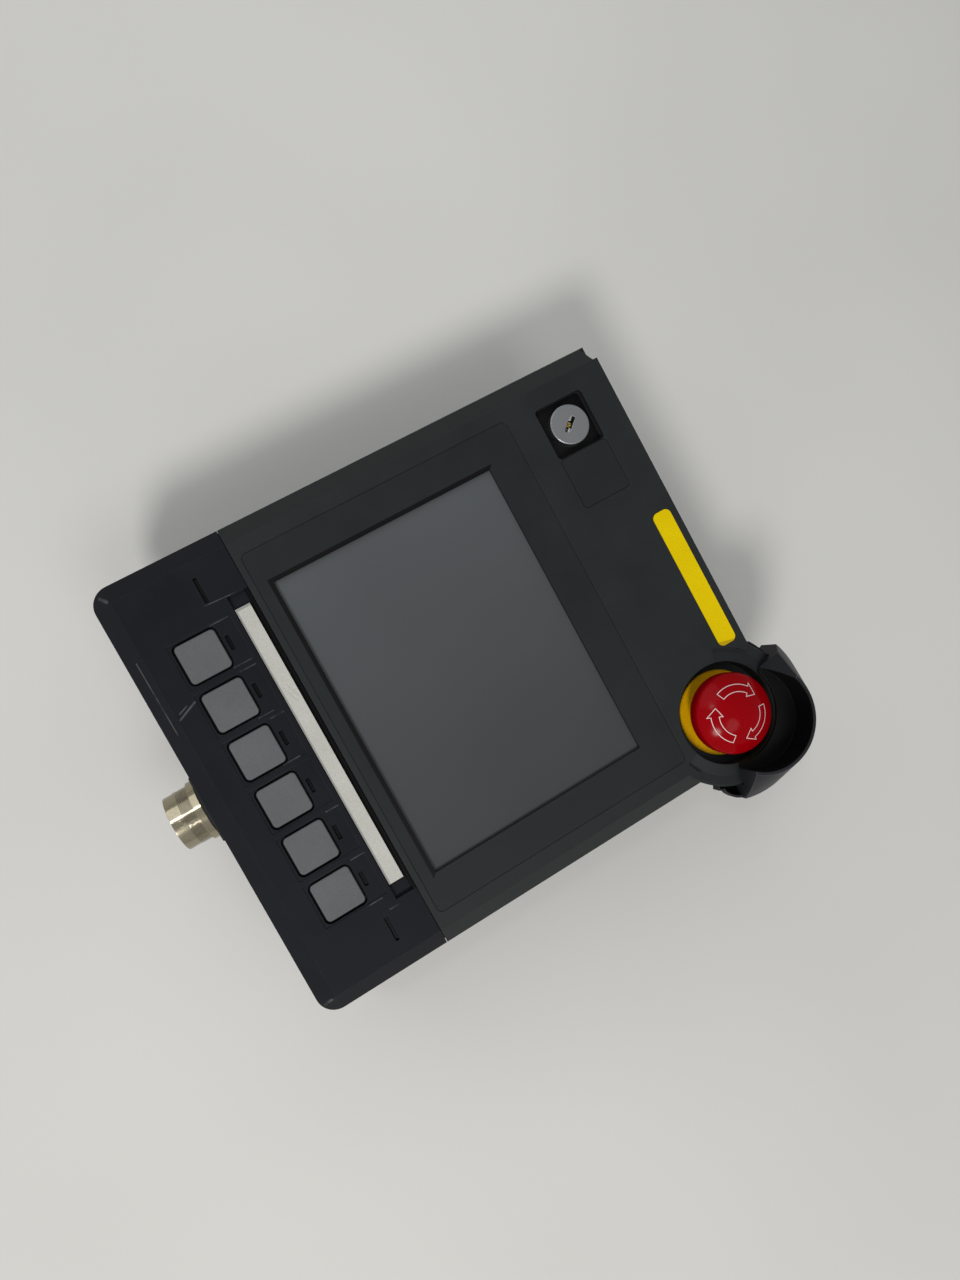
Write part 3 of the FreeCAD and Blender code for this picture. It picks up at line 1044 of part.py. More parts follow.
def make_strap():
    low = "(hump_height / 2 - hump_draft)"
    slope = "hump_draft / (back_z + wall)"
    top = "(channel_depth - strap_lift)"
    under = f"({top} - strap_thick)"
    flat = "(back_z - strap_lift)"
    flat_low = f"({flat} - strap_thick)"
    end = "(anchor_y + anchor_length / 2)"
    # Half the strap, from its free end round the hump to the middle
    outer = [
        (end, flat_low),
        (f"{low} + {flat_low} * {slope} + strap_thick + 2 * strap_lift", flat_low),
        (f"{low} + hump_round * {slope} + strap_thick + 2 * strap_lift", "hump_round"),
        (f"{low} + strap_thick / 2 - strap_lift", under),
    ]
    inner = [
        (f"{low} - strap_lift", top),
        (f"{low} + hump_round * {slope} + 2 * strap_lift", "hump_round"),
        (f"{low} + {flat_low} * {slope} + 2 * strap_lift", f"{flat} - 1"),
        (f"{low} + back_z * {slope} + 1", flat),
        (end, flat),
    ]
    mirrored = [[(f"-({y})", z) for y, z in reversed(part)] for part in (outer, inner)]
    strap = new_body("hand_strap")
    path = outer + mirrored[0] + mirrored[1] + inner
    prism(strap, "strap_profile", path, ("0", "0", "strap_x"), "strap_width", plane="YZ_Plane")
    anchors = new_body("strap_anchors")
    anchors.AllowCompound = True
    plate_low = f"({flat_low} - anchor_thick)"
    for number, sign in enumerate(("", "-")):
        width = "strap_width + 2 * anchor_length"
        spot = ("strap_x", f"{sign}anchor_y", plate_low)
        slab(anchors, f"anchor_plate_{number}", spot, (width, "anchor_length"), "anchor_thick", "key_radius")
        for foot, side in enumerate(("-", "+")):
            x = f"strap_x {side} (strap_width / 2 + anchor_length / 2 + strap_side / 2)"
            at = (x, f"{sign}anchor_y", flat_low)
            size = ("anchor_length - strap_side", "anchor_length")
            slab(anchors, f"anchor_foot_{number}_{foot}", at, size, f"back_z - {flat_low}", "key_radius")
    for number, (x, y) in enumerate(ANCHOR_SCREWS):
        height = f"back_z - {plate_low}"
        disc(anchors, f"plate_hole_{number}", (x, y, plate_low), "screw_shank + fit_gap", height, cut=True)
    head_z = f"({plate_low} - screw_head_thick)"
    make_screws("strap_screws", ANCHOR_SCREWS, head_z, "(back_z + wall)")


def write_parts():
    os.makedirs("parts", exist_ok=True)
    doc.recompute()
    for item in doc.Objects:
        if "Invalid" in item.State or "Error" in item.State:
            raise RuntimeError(f"{item.Label}: {item.State}")
    for body in doc.findObjects("PartDesign::Body"):
        if body.Shape.isNull() or not body.Shape.isValid():
            raise RuntimeError(f"{body.Label}: no valid shape")
        body.Shape.exportStep(f"parts/{body.Label}.step")


make_front_bezel()
make_key_panel()
make_rear_cover()
make_housing_gasket()
make_screws("rear_screws", BEZEL_SCREWS + PANEL_SCREWS, SCREW_Z, f"({FRONT_Z} + post_width)")
make_display()
make_inside()
make_keys()
make_key_switch()
make_stop_switch()
make_guard()
make_connector()
make_grip_switch()
make_strap()
write_parts()
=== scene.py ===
import math

import bmesh
import bpy
from mathutils import Matrix, Vector


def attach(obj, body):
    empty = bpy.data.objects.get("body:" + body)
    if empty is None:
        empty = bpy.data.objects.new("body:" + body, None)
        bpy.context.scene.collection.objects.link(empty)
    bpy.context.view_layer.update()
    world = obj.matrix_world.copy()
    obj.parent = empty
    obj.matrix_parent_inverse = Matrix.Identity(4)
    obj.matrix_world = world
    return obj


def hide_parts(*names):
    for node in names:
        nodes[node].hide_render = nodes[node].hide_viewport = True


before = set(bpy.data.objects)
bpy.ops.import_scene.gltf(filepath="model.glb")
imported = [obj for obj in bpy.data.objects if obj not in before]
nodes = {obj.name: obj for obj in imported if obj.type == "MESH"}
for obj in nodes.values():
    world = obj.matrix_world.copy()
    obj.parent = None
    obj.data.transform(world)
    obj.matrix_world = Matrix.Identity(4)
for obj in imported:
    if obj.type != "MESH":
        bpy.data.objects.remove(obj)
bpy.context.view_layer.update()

MM = 0.001

# Places on the part that match its CAD
STOP = Vector((73.2, 91.8, 0.0)) * MM
LOCK = Vector((-67.6, 90.0, 0.0)) * MM
GUARD = Vector((79.56, 98.86, 0.0)) * MM
GUARD_TURN = 48.0  # degrees
KEYWAY_ANGLE = math.radians(41)
CONNECTOR_Z = 53.0 * MM

# Factor that leaves only the x and y of a point
FLAT = (1, 1, 0)


def tone(red, green, blue):
    # A colour as it is seen on a screen, 0 to 255, turned into linear values
    linear = []
    for part in (red, green, blue):
        share = part / 255
        linear.append(share / 12.92 if share <= 0.04045 else ((share + 0.055) / 1.055) ** 2.4)
    return (*linear, 1.0)


# Node helpers
def add(tree, kind, inputs=None, **settings):
    node = tree.nodes.new("ShaderNode" + kind)
    for name, setting in settings.items():
        setattr(node, name, setting)
    for name, source in (inputs or {}).items():
        if isinstance(source, bpy.types.NodeSocket):
            tree.links.new(source, node.inputs[name])
        else:
            node.inputs[name].default_value = source
    return node


def math_node(tree, operation, *values, clamp=False):
    node = add(tree, "Math", dict(enumerate(values)), operation=operation, use_clamp=clamp)
    return node.outputs[0]


def vector_node(tree, operation, *values):
    return add(tree, "VectorMath", dict(enumerate(values)), operation=operation)


def mix(tree, factor, first, second):
    node = add(tree, "Mix", {0: factor, 6: first, 7: second}, data_type="RGBA")
    return node.outputs[2]


def remap(tree, source, low, high, to_low=0.0, to_high=1.0):
    values = {"Value": source, "From Min": low, "From Max": high, "To Min": to_low, "To Max": to_high}
    return add(tree, "MapRange", values).outputs[0]


NOISE_MIDDLE = (0.3, 0.7)


def even(tree, source, to_low=0.0, to_high=1.0):
    # The middle range of a noise, where most of its values lie
    return remap(tree, source, *NOISE_MIDDLE, to_low, to_high)


def object_point(tree, stretch=(1, 1, 1), shift=(0, 0, 0)):
    # The place on the part, shifted and then stretched
    coords = add(tree, "TexCoord").outputs["Object"]
    moved = vector_node(tree, "ADD", coords, shift).outputs[0]
    return vector_node(tree, "MULTIPLY", moved, stretch).outputs[0]


def axes(tree, point=None):
    # The x, y and z of a point as three sockets
    return add(tree, "SeparateXYZ", {0: point or object_point(tree)}).outputs


def noise(tree, point, scale, detail=3.0):
    values = {"Vector": point, "Scale": scale, "Detail": detail, "Roughness": 0.55}
    return add(tree, "TexNoise", values).outputs[0]


def rounded(tree, radius):
    # Normals with edges of this radius in millimetres
    return add(tree, "Bevel", {"Radius": radius * MM}, samples=4).outputs[0]


def bumps(tree, strength, height, depth=0.1, **inputs):
    # Normals of a relief of this depth in millimetres
    values = {"Strength": strength, "Distance": depth * MM, "Height": height, **inputs}
    return add(tree, "Bump", values).outputs[0]


FACE_BEND = 0.99  # cosine of the bend that still counts as flat


def edge_mask(tree, bevel, sharp=0.8):
    # One along edges and nought on flat faces, sharp being the cosine of the bend that counts as one
    normal = add(tree, "NewGeometry").outputs["Normal"]
    bend = vector_node(tree, "DOT_PRODUCT", bevel, normal).outputs["Value"]
    return remap(tree, bend, FACE_BEND, sharp)


MARKS_ABOVE = 72.0 * MM
MARK_NOISE = 240
MARK_BREAKS = (0.32, 0.6, 0.1, 0.75)  # range of the noise, and how strong the mark is at its ends


def mark_mask(tree, start, end, width):
    # A thin broken line from start to end, in millimetres on the front
    first = Vector((*start, 0.0)) * MM
    way = Vector((*end, 0.0)) * MM - first
    point = object_point(tree)
    flat = vector_node(tree, "MULTIPLY", point, FLAT).outputs[0]
    offset = vector_node(tree, "SUBTRACT", flat, first).outputs[0]
    along = vector_node(tree, "DOT_PRODUCT", offset, way / way.length_squared).outputs["Value"]
    held = math_node(tree, "ADD", along, 0.0, clamp=True)
    spot = add(tree, "VectorMath", {0: way, "Scale": held}, operation="SCALE").outputs[0]
    gap = vector_node(tree, "DISTANCE", offset, spot).outputs["Value"]
    line = remap(tree, gap, width * MM, 0.0)
    broken = remap(tree, noise(tree, point, MARK_NOISE), *MARK_BREAKS)
    front = math_node(tree, "GREATER_THAN", axes(tree, point)[2], MARKS_ABOVE)
    return math_node(tree, "MULTIPLY", math_node(tree, "MULTIPLY", line, broken), front)


# Zones: each is one where a piece has its second colour, and nought elsewhere; the zones below paint shade,
# and on the tray walls paint light
WELL_EDGE = (22.4 * MM, 22.2 * MM)  # where the zone starts, and where it is full
POCKET_BELOW = 76.1 * MM
POCKET_FACING = 10.0 * MM  # the radius along a face's normal, if less, tells the inside from the outer wall
TRAY_FLOOR = (75.6 * MM, 75.8 * MM)
KEY_TOP_EDGE = (79.05 * MM, 78.9 * MM)


def guard_well_shade(tree):
    # Inside the round well of the guard, seen in plan, where painted shade darkens the well
    gap = vector_node(tree, "LENGTH", object_point(tree, FLAT, -GUARD)).outputs["Value"]
    return remap(tree, gap, *WELL_EDGE)


def hook_pocket_shade(tree):
    # The floor and the inner wall of the pocket in the guard's hook, painted almost black as shade
    normal = add(tree, "NewGeometry").outputs["Normal"]
    outward = vector_node(tree, "DOT_PRODUCT", normal, object_point(tree, FLAT, -STOP)).outputs["Value"]
    inside = math_node(tree, "LESS_THAN", outward, POCKET_FACING)
    low = math_node(tree, "LESS_THAN", axes(tree)[2], POCKET_BELOW)
    return math_node(tree, "MULTIPLY", inside, low)


def tray_wall_light(tree):
    # The walls of the switch tray, above its floor, painted a lighter grey as light falling on them
    return remap(tree, axes(tree)[2], *TRAY_FLOOR)


def key_side_shade(tree):
    # The sides of a key, below its rounded top, painted dark as the shade in the gap round the key
    return remap(tree, axes(tree)[2], *KEY_TOP_EDGE)


# Key panel: a range is its middle and its half width
PANEL_INSIDE_X = 86.5 * MM
PANEL_INSIDE_Y = -104.0 * MM
PANEL_SLOT_EDGE = (79.3 * MM, 78.9 * MM)
LEDGE_Y = -60.8 * MM
LEDGE_RANGE = (-1.0 * MM, 68.3 * MM)
LABEL_ROW = (-64.8 * MM, 3.7 * MM)
STRIP_RANGE = (-0.9 * MM, 62.5 * MM)
LABEL_FLOOR = 78.25 * MM


def panel_slot_shade(tree):
    # The openings of the key panel and the ledge above the label, away from the outer sides, painted dark
    # as shade
    x, y, z = axes(tree)
    narrow = math_node(tree, "LESS_THAN", math_node(tree, "ABSOLUTE", x), PANEL_INSIDE_X)
    high = math_node(tree, "GREATER_THAN", y, PANEL_INSIDE_Y)
    deep = remap(tree, z, *PANEL_SLOT_EDGE)
    slots = math_node(tree, "MULTIPLY", math_node(tree, "MULTIPLY", narrow, high), deep)
    above = math_node(tree, "GREATER_THAN", y, LEDGE_Y)
    beside = math_node(tree, "COMPARE", x, *LEDGE_RANGE)
    dark = math_node(tree, "MAXIMUM", slots, math_node(tree, "MULTIPLY", above, beside))
    # The floor of the label slot past both ends of the strip keeps the colour of the panel
    row = math_node(tree, "COMPARE", y, *LABEL_ROW)
    strip = math_node(tree, "COMPARE", x, *STRIP_RANGE)
    sunk = math_node(tree, "LESS_THAN", z, LABEL_FLOOR)
    ends = math_node(tree, "MULTIPLY", row, math_node(tree, "SUBTRACT", sunk, strip, clamp=True))
    return math_node(tree, "SUBTRACT", dark, ends, clamp=True)


WINDOW_X = 66.25 * MM
WINDOW_Y = 49.8 * MM
WINDOW_STRIP = 1.8 * MM


def window_border_shade(tree):
    # The lower and left strips round the screen window, cut off at an angle at their ends, painted dark as
    # the shade on those two sides
    x, y = axes(tree)[:2]
    below = math_node(tree, "SUBTRACT", -WINDOW_Y, y)
    left = math_node(tree, "SUBTRACT", -WINDOW_X, x)
    above = math_node(tree, "SUBTRACT", y, WINDOW_Y)
    right = math_node(tree, "SUBTRACT", x, WINDOW_X)
    dark = math_node(tree, "MAXIMUM", below, left)
    chosen = math_node(tree, "GREATER_THAN", dark, math_node(tree, "MAXIMUM", above, right))
    return math_node(tree, "MULTIPLY", chosen, math_node(tree, "LESS_THAN", dark, WINDOW_STRIP))


STRIP_LOW_EDGE = (-67.2 * MM, -67.5 * MM)
STRIP_LEFT_END = (-62.4 * MM, -62.7 * MM)


def label_edge_shade(tree):
    # The lower edge and the left end of the label strip, painted grey as shade on its bevel
    x, y = axes(tree)[:2]
    return math_node(tree, "MAXIMUM", remap(tree, y, *STRIP_LOW_EDGE), remap(tree, x, *STRIP_LEFT_END))


# Painted shade at the end of the yellow plate: where it starts, the height it is measured from, and its
# slant
PLATE_SHADE = (44.2 * MM, 44.5 * MM)
PLATE_SHADE_Y = 101.6 * MM
PLATE_SHADE_SLANT = 0.28


def plate_end_shade(tree):
    # The end of the yellow plate, painted darker as the shade of a bend down towards the stop switch that
    # the flat plate does not have
    x, y = axes(tree)[:2]
    slant = math_node(tree, "MULTIPLY", math_node(tree, "SUBTRACT", y, PLATE_SHADE_Y), PLATE_SHADE_SLANT)
    return remap(tree, math_node(tree, "SUBTRACT", x, slant), *PLATE_SHADE)


# Materials
def new_material(name):
    material = bpy.data.materials.new(name)
    material.use_nodes = True
    tree = material.node_tree
    tree.nodes.clear()
    return material, tree


def finish_surface(tree, values):
    shader = add(tree, "BsdfPrincipled", values)
    add(tree, "OutputMaterial", {"Surface": shader.outputs[0]})


ROUGH_SPREAD = 0.06
SPECKS = (0.9, 1.1)
# The edge tone is wear on most pieces and a painted edge highlight on the guard, hook and label
EDGE_WEAR_AND_GLINT_PATCHES = (0.35, 0.65, 0.25)  # range of the noise, and the least share of wear


def surface(name, color, other, rough, grain=(2200, 0.12), spots=45, edge=0.35, edge_wear_and_glint=None, edge_wear_and_glint_share=0.5,
            sharp=0.8, specular=0.35, metallic=0.0, stretch=(1, 1, 1), marks=(), mark_color=None,
            zone=None, zone_color=None):
    # Two close tones in soft patches, with an edge tone (wear, and on the guard, hook and label a painted
    # edge highlight), a zone, marks and a grain of (scale, strength)
    material, tree = new_material(name)
    point = object_point(tree, stretch)
    broad = noise(tree, point, spots, 4.0)
    fine = noise(tree, point, grain[0], 2.0)
    paint = mix(tree, even(tree, broad), color, other)
    speck = even(tree, fine, *SPECKS)
    paint = add(tree, "VectorMath", {0: paint, "Scale": speck}, operation="SCALE").outputs[0]
    bevel = rounded(tree, edge)
    # Edge tone: wear, and on the guard, hook and label a painted edge highlight
    if edge_wear_and_glint:
        patchy = remap(tree, broad, *EDGE_WEAR_AND_GLINT_PATCHES, edge_wear_and_glint_share)
        share = math_node(tree, "MULTIPLY", edge_mask(tree, bevel, sharp), patchy)
        paint = mix(tree, share, paint, edge_wear_and_glint)
    # The zone's second colour is painted shade, or painted light on the tray walls
    if zone:
        paint = mix(tree, zone(tree), paint, zone_color)
    for start, end, width in marks:
        paint = mix(tree, mark_mask(tree, start, end, width), paint, mark_color)
    finish_surface(tree, {
        "Base Color": paint,
        "Roughness": even(tree, broad, rough - ROUGH_SPREAD, rough + ROUGH_SPREAD),
        "Metallic": metallic,
        "Specular IOR Level": specular,
        "Normal": bumps(tree, grain[1], fine, Normal=bevel),
    })
    return material


# Scuffs, moulding lines and painted highlights: start, end and width in millimetres
HOUSING_MARKS = [
    ((-74.2, 61.6), (-68.7, 63.4), 0.5),
    ((-68.7, 63.4), (-61.5, 62.8), 0.4),
]
LABEL_MARKS = [
    ((-28.8, -64.8), (-22.3, -62.7), 0.25),
    ((-28.0, -66.4), (-20.5, -63.9), 0.2),
]
PANEL_MARKS = [
    ((-63.1, -110.2), (-31.5, -109.9), 0.35),
    ((-36.0, -106.0), (-39.5, -98.0), 0.55),
    ((-38.1, -105.2), (-39.6, -101.4), 0.35),
    ((-70.3, -77.2), (-69.6, -64.0), 0.25),
]
# Painted highlights where the ridges between the keys catch light
KEY_RIDGE_GLINTS = [  # x, low y and high y of the short lines between the keys
    (-62.7, -79.2, -71.6), (-44.0, -79.0, -71.4), (-41.5, -77.7, -71.1), (-22.2, -80.2, -73.7),
    (-19.9, -76.7, -70.8), (-1.5, -80.8, -73.6), (22.9, -75.6, -70.2), (44.4, -76.3, -70.3),
    (63.7, -78.6, -73.0), (69.3, -72.5, -68.4),
]
# Painted highlights on the two lower rounded corners of the key panel
PANEL_CORNER_GLINTS = [
    ((-91.8, -110.5), (-88.8, -108.2), 0.9),
    ((90.1, -112.6), (88.6, -109.0), 0.8),
]
KEY_GLINT_WIDTH = 0.3
PANEL_MARKS += [((x, low), (x, high), KEY_GLINT_WIDTH) for x, low, high in KEY_RIDGE_GLINTS]
PANEL_MARKS += PANEL_CORNER_GLINTS

# Plastics, films and metals of the terminal
housing = surface("housing_plastic", tone(32, 35, 36), tone(37, 40, 41), 0.5, edge_wear_and_glint=tone(72, 75, 76),
                  specular=0.13, marks=HOUSING_MARKS, mark_color=tone(66, 68, 68))
# Panel: the openings and the ledge are painted shade, and the marks include painted highlights
panel = surface("panel_plastic", tone(23, 24, 29), tone(28, 29, 34), 0.45, edge_wear_and_glint=tone(76, 77, 82),
                edge_wear_and_glint_share=0.55, specular=0.06, marks=PANEL_MARKS, mark_color=tone(98, 99, 102),
                zone=panel_slot_shade, zone_color=tone(8, 8, 10))
# Guard: the well is painted near black as shade, and its raised edge tone is a painted edge highlight
guard = surface("guard_plastic", tone(32, 33, 37), tone(37, 38, 42), 0.42, edge=0.45,
                edge_wear_and_glint=tone(108, 108, 112), edge_wear_and_glint_share=0.8, sharp=0.95, specular=0.13, zone=guard_well_shade,
                zone_color=tone(7, 7, 8))
# Hook: the pocket is painted shade, and its edge tone is a painted edge highlight
hook = surface("hook_plastic", tone(40, 41, 45), tone(44, 45, 49), 0.42, edge=0.3, edge_wear_and_glint=tone(104, 104, 108),
               edge_wear_and_glint_share=0.7, specular=0.02, zone=hook_pocket_shade, zone_color=tone(2, 2, 3))
black = surface("black_plastic", tone(13, 13, 14), tone(18, 18, 19), 0.45, edge_wear_and_glint=tone(38, 38, 39),
                specular=0.13)
# The tray's walls are painted a lighter grey as painted light
tray = surface("tray_plastic", tone(12, 12, 13), tone(16, 16, 17), 0.45, edge=0.15, specular=0.1,
               zone=tray_wall_light, zone_color=tone(50, 53, 54))
# The overlay film's window strips on the lower and left sides are painted shade
film = surface("overlay_film", tone(33, 36, 37), tone(37, 40, 41), 0.46, grain=(3200, 0.08), edge=0.2,
               edge_wear_and_glint=tone(56, 59, 60), specular=0.1, zone=window_border_shade, zone_color=tone(9, 10, 10))
blank = surface("blank_plastic", tone(31, 34, 35), tone(35, 38, 39), 0.5, edge=0.2, edge_wear_and_glint=tone(54, 56, 57),
                specular=0.13)
# The key sides are painted dark as shade
keys = surface("key_grey", tone(90, 91, 93), tone(97, 98, 100), 0.55, grain=(2600, 0.1), edge=0.3,
               edge_wear_and_glint=tone(66, 67, 69), specular=0.12, zone=key_side_shade, zone_color=tone(14, 14, 15))
lamp = surface("lamp_window", tone(7, 7, 8), tone(10, 10, 11), 0.3, edge=0.15, edge_wear_and_glint=tone(22, 23, 24),
               specular=0.1)
# Label: the lower edge and left end are painted shade, and its edge tone is a painted edge highlight
label = surface("label_white", tone(182, 181, 174), tone(190, 189, 182), 0.6, grain=(2600, 0.03), spots=60,
                edge=0.15, edge_wear_and_glint=tone(222, 221, 215), specular=0.2, zone=label_edge_shade,
                zone_color=tone(146, 146, 142), marks=LABEL_MARKS, mark_color=tone(150, 148, 143))
# The plate's end is painted shade
yellow = surface("plate_yellow", tone(216, 186, 0), tone(223, 195, 0), 0.45, edge=0.15,
                 edge_wear_and_glint=tone(170, 146, 6), specular=0.08, zone=plate_end_shade, zone_color=tone(184, 152, 4))
collar = surface("collar_yellow", tone(222, 166, 2), tone(230, 176, 4), 0.4, edge=0.2,
                 edge_wear_and_glint=tone(200, 156, 30), specular=0.1)
red = surface("stop_red", tone(140, 0, 8), tone(146, 1, 11), 0.14, grain=(1800, 0.0), specular=0.065)
white_print = surface("arrow_print", tone(216, 198, 197), tone(226, 212, 210), 0.5, edge=0.05)
rubber = surface("rubber_black", tone(20, 20, 20), tone(28, 28, 28), 0.75, grain=(1500, 0.25))
board = surface("circuit_board", tone(22, 74, 40), tone(30, 90, 48), 0.4, spots=160,
                edge_wear_and_glint=tone(120, 118, 70))
lcd = surface("lcd_dark", tone(40, 43, 46), tone(48, 51, 54), 0.2)
steel = surface("sheet_steel", tone(150, 152, 154), tone(172, 174, 176), 0.34, stretch=(0.2, 4, 1),
                metallic=1.0, edge_wear_and_glint=tone(200, 200, 200))
screws = surface("screw_steel", tone(92, 93, 96), tone(120, 121, 124), 0.32, metallic=1.0, edge=0.25,
                 edge_wear_and_glint=tone(190, 190, 192))
nickel = surface("connector_nickel", tone(150, 142, 121), tone(168, 160, 138), 0.14, grain=(1600, 0.02),
                 metallic=1.0, stretch=(1, 0.4, 1), edge=0.3, edge_wear_and_glint=tone(232, 228, 214))
bright = surface("ward_metal", tone(186, 187, 188), tone(200, 200, 201), 0.3, metallic=1.0, edge=0.15)
brass = surface("wafer_brass", tone(150, 132, 58), tone(176, 156, 74), 0.35, metallic=1.0, edge=0.1)
thread = surface("strap_thread", tone(44, 44, 46), tone(58, 58, 60), 0.7, grain=(2600, 0.3), edge=0.1)

LOCK_ROUND = 0.35
LOCK_RINGS = {"Scale": 900.0, "Distortion": 0.6, "Detail": 2.0}


def turned_metal():
    # Satin face of the lock with the fine rings that a lathe leaves
    material, tree = new_material("lock_silver")
    point = object_point(tree, shift=-LOCK)
    flat = vector_node(tree, "MULTIPLY", point, FLAT).outputs[0]
    rings = add(tree, "TexWave", {"Vector": flat, **LOCK_RINGS}, wave_type="RINGS",
                rings_direction="SPHERICAL").outputs[1]
    broad = noise(tree, point, 220)
    bevel = rounded(tree, LOCK_ROUND)
    paint = mix(tree, even(tree, broad, 0.0, 0.35), tone(140, 142, 145), tone(122, 124, 126))
    paint = mix(tree, edge_mask(tree, bevel), paint, tone(196, 196, 196))
    finish_surface(tree, {
        "Base Color": paint,
        "Roughness": even(tree, broad, 0.34, 0.46),
        "Metallic": 1.0,
        "Normal": bumps(tree, 0.06, rings, Normal=bevel),
    })
    return material


SCREEN_REFLECTION_FADE = (-80 * MM, 80 * MM)
SCREEN_CLOUDS = (-0.12, 0.12)
SCREEN_SPARKLE = (0.62, 0.72, 0.0, 0.12)


def touch_film():
    # Matt film over the display: a grey field, lighter towards the part's left as a painted reflection,
    # with soft clouds and a fine sparkle
    material, tree = new_material("touch_film")
    point = object_point(tree)
    broad = noise(tree, point, 9, 2.0)
    fine = noise(tree, point, 3600, 2.0)
    # Painted reflection: lighter towards the part's left, darker towards its right
    reflection_fade = remap(tree, axes(tree, point)[0], *SCREEN_REFLECTION_FADE)
    share = math_node(tree, "ADD", reflection_fade, even(tree, broad, *SCREEN_CLOUDS), clamp=True)
    paint = mix(tree, share, tone(84, 87, 89), tone(60, 62, 63))
    paint = mix(tree, remap(tree, fine, *SCREEN_SPARKLE), paint, tone(96, 99, 101))
    finish_surface(tree, {
        "Base Color": paint,
        "Roughness": even(tree, broad, 0.26, 0.34),
        "Specular IOR Level": 0.09,
        "Normal": bumps(tree, 0.05, fine),
    })
    return material


WARP_PITCH = 1.1 * MM
WEFT_PITCH = 0.8 * MM
WEAVE_SHARE = 0.5
RIB_SHARE = 0.3
CLOTH_FUZZ = (0.55, 0.7, 0.0, 0.4)


def webbing():
    # Woven strap: ribs along its length crossed by the weft, from its own flat coordinates in metres
    material, tree = new_material("strap_webbing")
    x, y = axes(tree, add(tree, "UVMap").outputs[0])[:2]
    across = math_node(tree, "SINE", math_node(tree, "MULTIPLY", x, 2 * math.pi / WARP_PITCH))
    along = math_node(tree, "SINE", math_node(tree, "MULTIPLY", y, 2 * math.pi / WEFT_PITCH))
    weave = math_node(tree, "MULTIPLY", math_node(tree, "MULTIPLY", across, along), WEAVE_SHARE)
    height = math_node(tree, "ADD", weave, math_node(tree, "MULTIPLY", across, RIB_SHARE))
    top = WEAVE_SHARE + RIB_SHARE
    fuzz = noise(tree, object_point(tree), 1400)
    paint = mix(tree, remap(tree, height, -top, top), tone(14, 14, 15), tone(40, 40, 42))
    paint = mix(tree, remap(tree, fuzz, *CLOTH_FUZZ), paint, tone(58, 58, 60))
    finish_surface(tree, {
        "Base Color": paint,
        "Roughness": even(tree, fuzz, 0.75, 0.9),
        "Sheen Weight": 0.15,
        "Normal": bumps(tree, 0.6, height, 0.3),
    })
    return material


silver = turned_metal()
screen = touch_film()
cloth = webbing()

# Which CAD nodes have which material
FINISHES = {
    housing: ["front_bezel", "rear_cover"],
    panel: ["key_panel"],
    guard: ["estop_guard", "grip_lever"],
    black: ["board_components", "connector_insert", "enable_plunger", "enable_switch", "estop_body",
            "estop_contact_block", "estop_lock_nut", "estop_stem", "key_contact_block", "lcd_backlight",
            "strap_anchors"],
    tray: ["key_switch_holder"],
    blank: ["blank_plate"],
    film: ["overlay_sheet"],
    screen: ["touch_panel"],
    lcd: ["lcd_panel"],
    steel: ["backup_battery", "board_standoffs", "chassis_plate"],
    board: ["key_board", "main_board"],
    rubber: ["connector_gasket", "display_gasket", "housing_gasket", "keypad_mat"],
    keys: [f"function_key_{number}" for number in range(1, 7)],
    lamp: ["grip_led", "key_leds", "power_led"],
    label: ["label_strip"],
    silver: ["key_cylinder"],
    yellow: ["stop_nameplate"],
    collar: ["estop_collar"],
    red: ["estop_head"],
    nickel: ["connector_nut", "connector_shell"],
    cloth: ["hand_strap"],
    screws: ["chassis_screws", "grip_pivot_pin", "key_board_screws", "rear_screws", "strap_screws"],
}
for material, names in FINISHES.items():
    for name in names:
        mesh = nodes[name].data
        mesh.materials.clear()
        mesh.materials.append(material)


# Mesh helpers
def new_piece(name, mesh_data, material, body, smooth=True):
    # An object of the scene that rides on a body of the part
    mesh = bpy.data.meshes.new(name)
    mesh_data.normal_update()
    mesh_data.to_mesh(mesh)
    mesh_data.free()
    mesh.materials.append(material)
    for face in mesh.polygons:
        face.use_smooth = smooth
    piece = bpy.data.objects.new(name, mesh)
    bpy.context.scene.collection.objects.link(piece)
    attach(piece, body)
    return piece


def around(radius, angle, height):
    # A point in millimetres, from a radius, an angle and a height
    return Vector((radius * math.cos(angle), radius * math.sin(angle), height))


def join_rows(mesh, here, after):
    # A band of faces between two closed rows of points
    count = len(here)
    for index in range(count):
        following = (index + 1) % count
        mesh.faces.new((here[index], here[following], after[following], after[index]))


def lathe(mesh, profile, steps, place):
    # Closed profile of (radius, height) turned about z, then moved by place
    rows = []
    for step in range(steps):
        angle = 2 * math.pi * step / steps
        spots = [around(radius, angle, height) * MM for radius, height in profile]
        rows.append([mesh.verts.new(place @ spot) for spot in spots])
    for step in range(steps):
        join_rows(mesh, rows[step], rows[(step + 1) % steps])


def close_lathe(mesh):
    # Merge the points on the axis and turn the faces outward
    bmesh.ops.remove_doubles(mesh, verts=mesh.verts, dist=1e-7)
    bmesh.ops.dissolve_degenerate(mesh, edges=mesh.edges, dist=1e-8)
    bmesh.ops.recalc_face_normals(mesh, faces=mesh.faces)


def arc(centre, radius, start, end, steps):
    # Points from one angle to another, in degrees
    points = []
    for step in range(steps + 1):
        angle = math.radians(start + (end - start) * step / steps)
        points.append((centre[0] + radius * math.cos(angle), centre[1] + radius * math.sin(angle)))
    return points


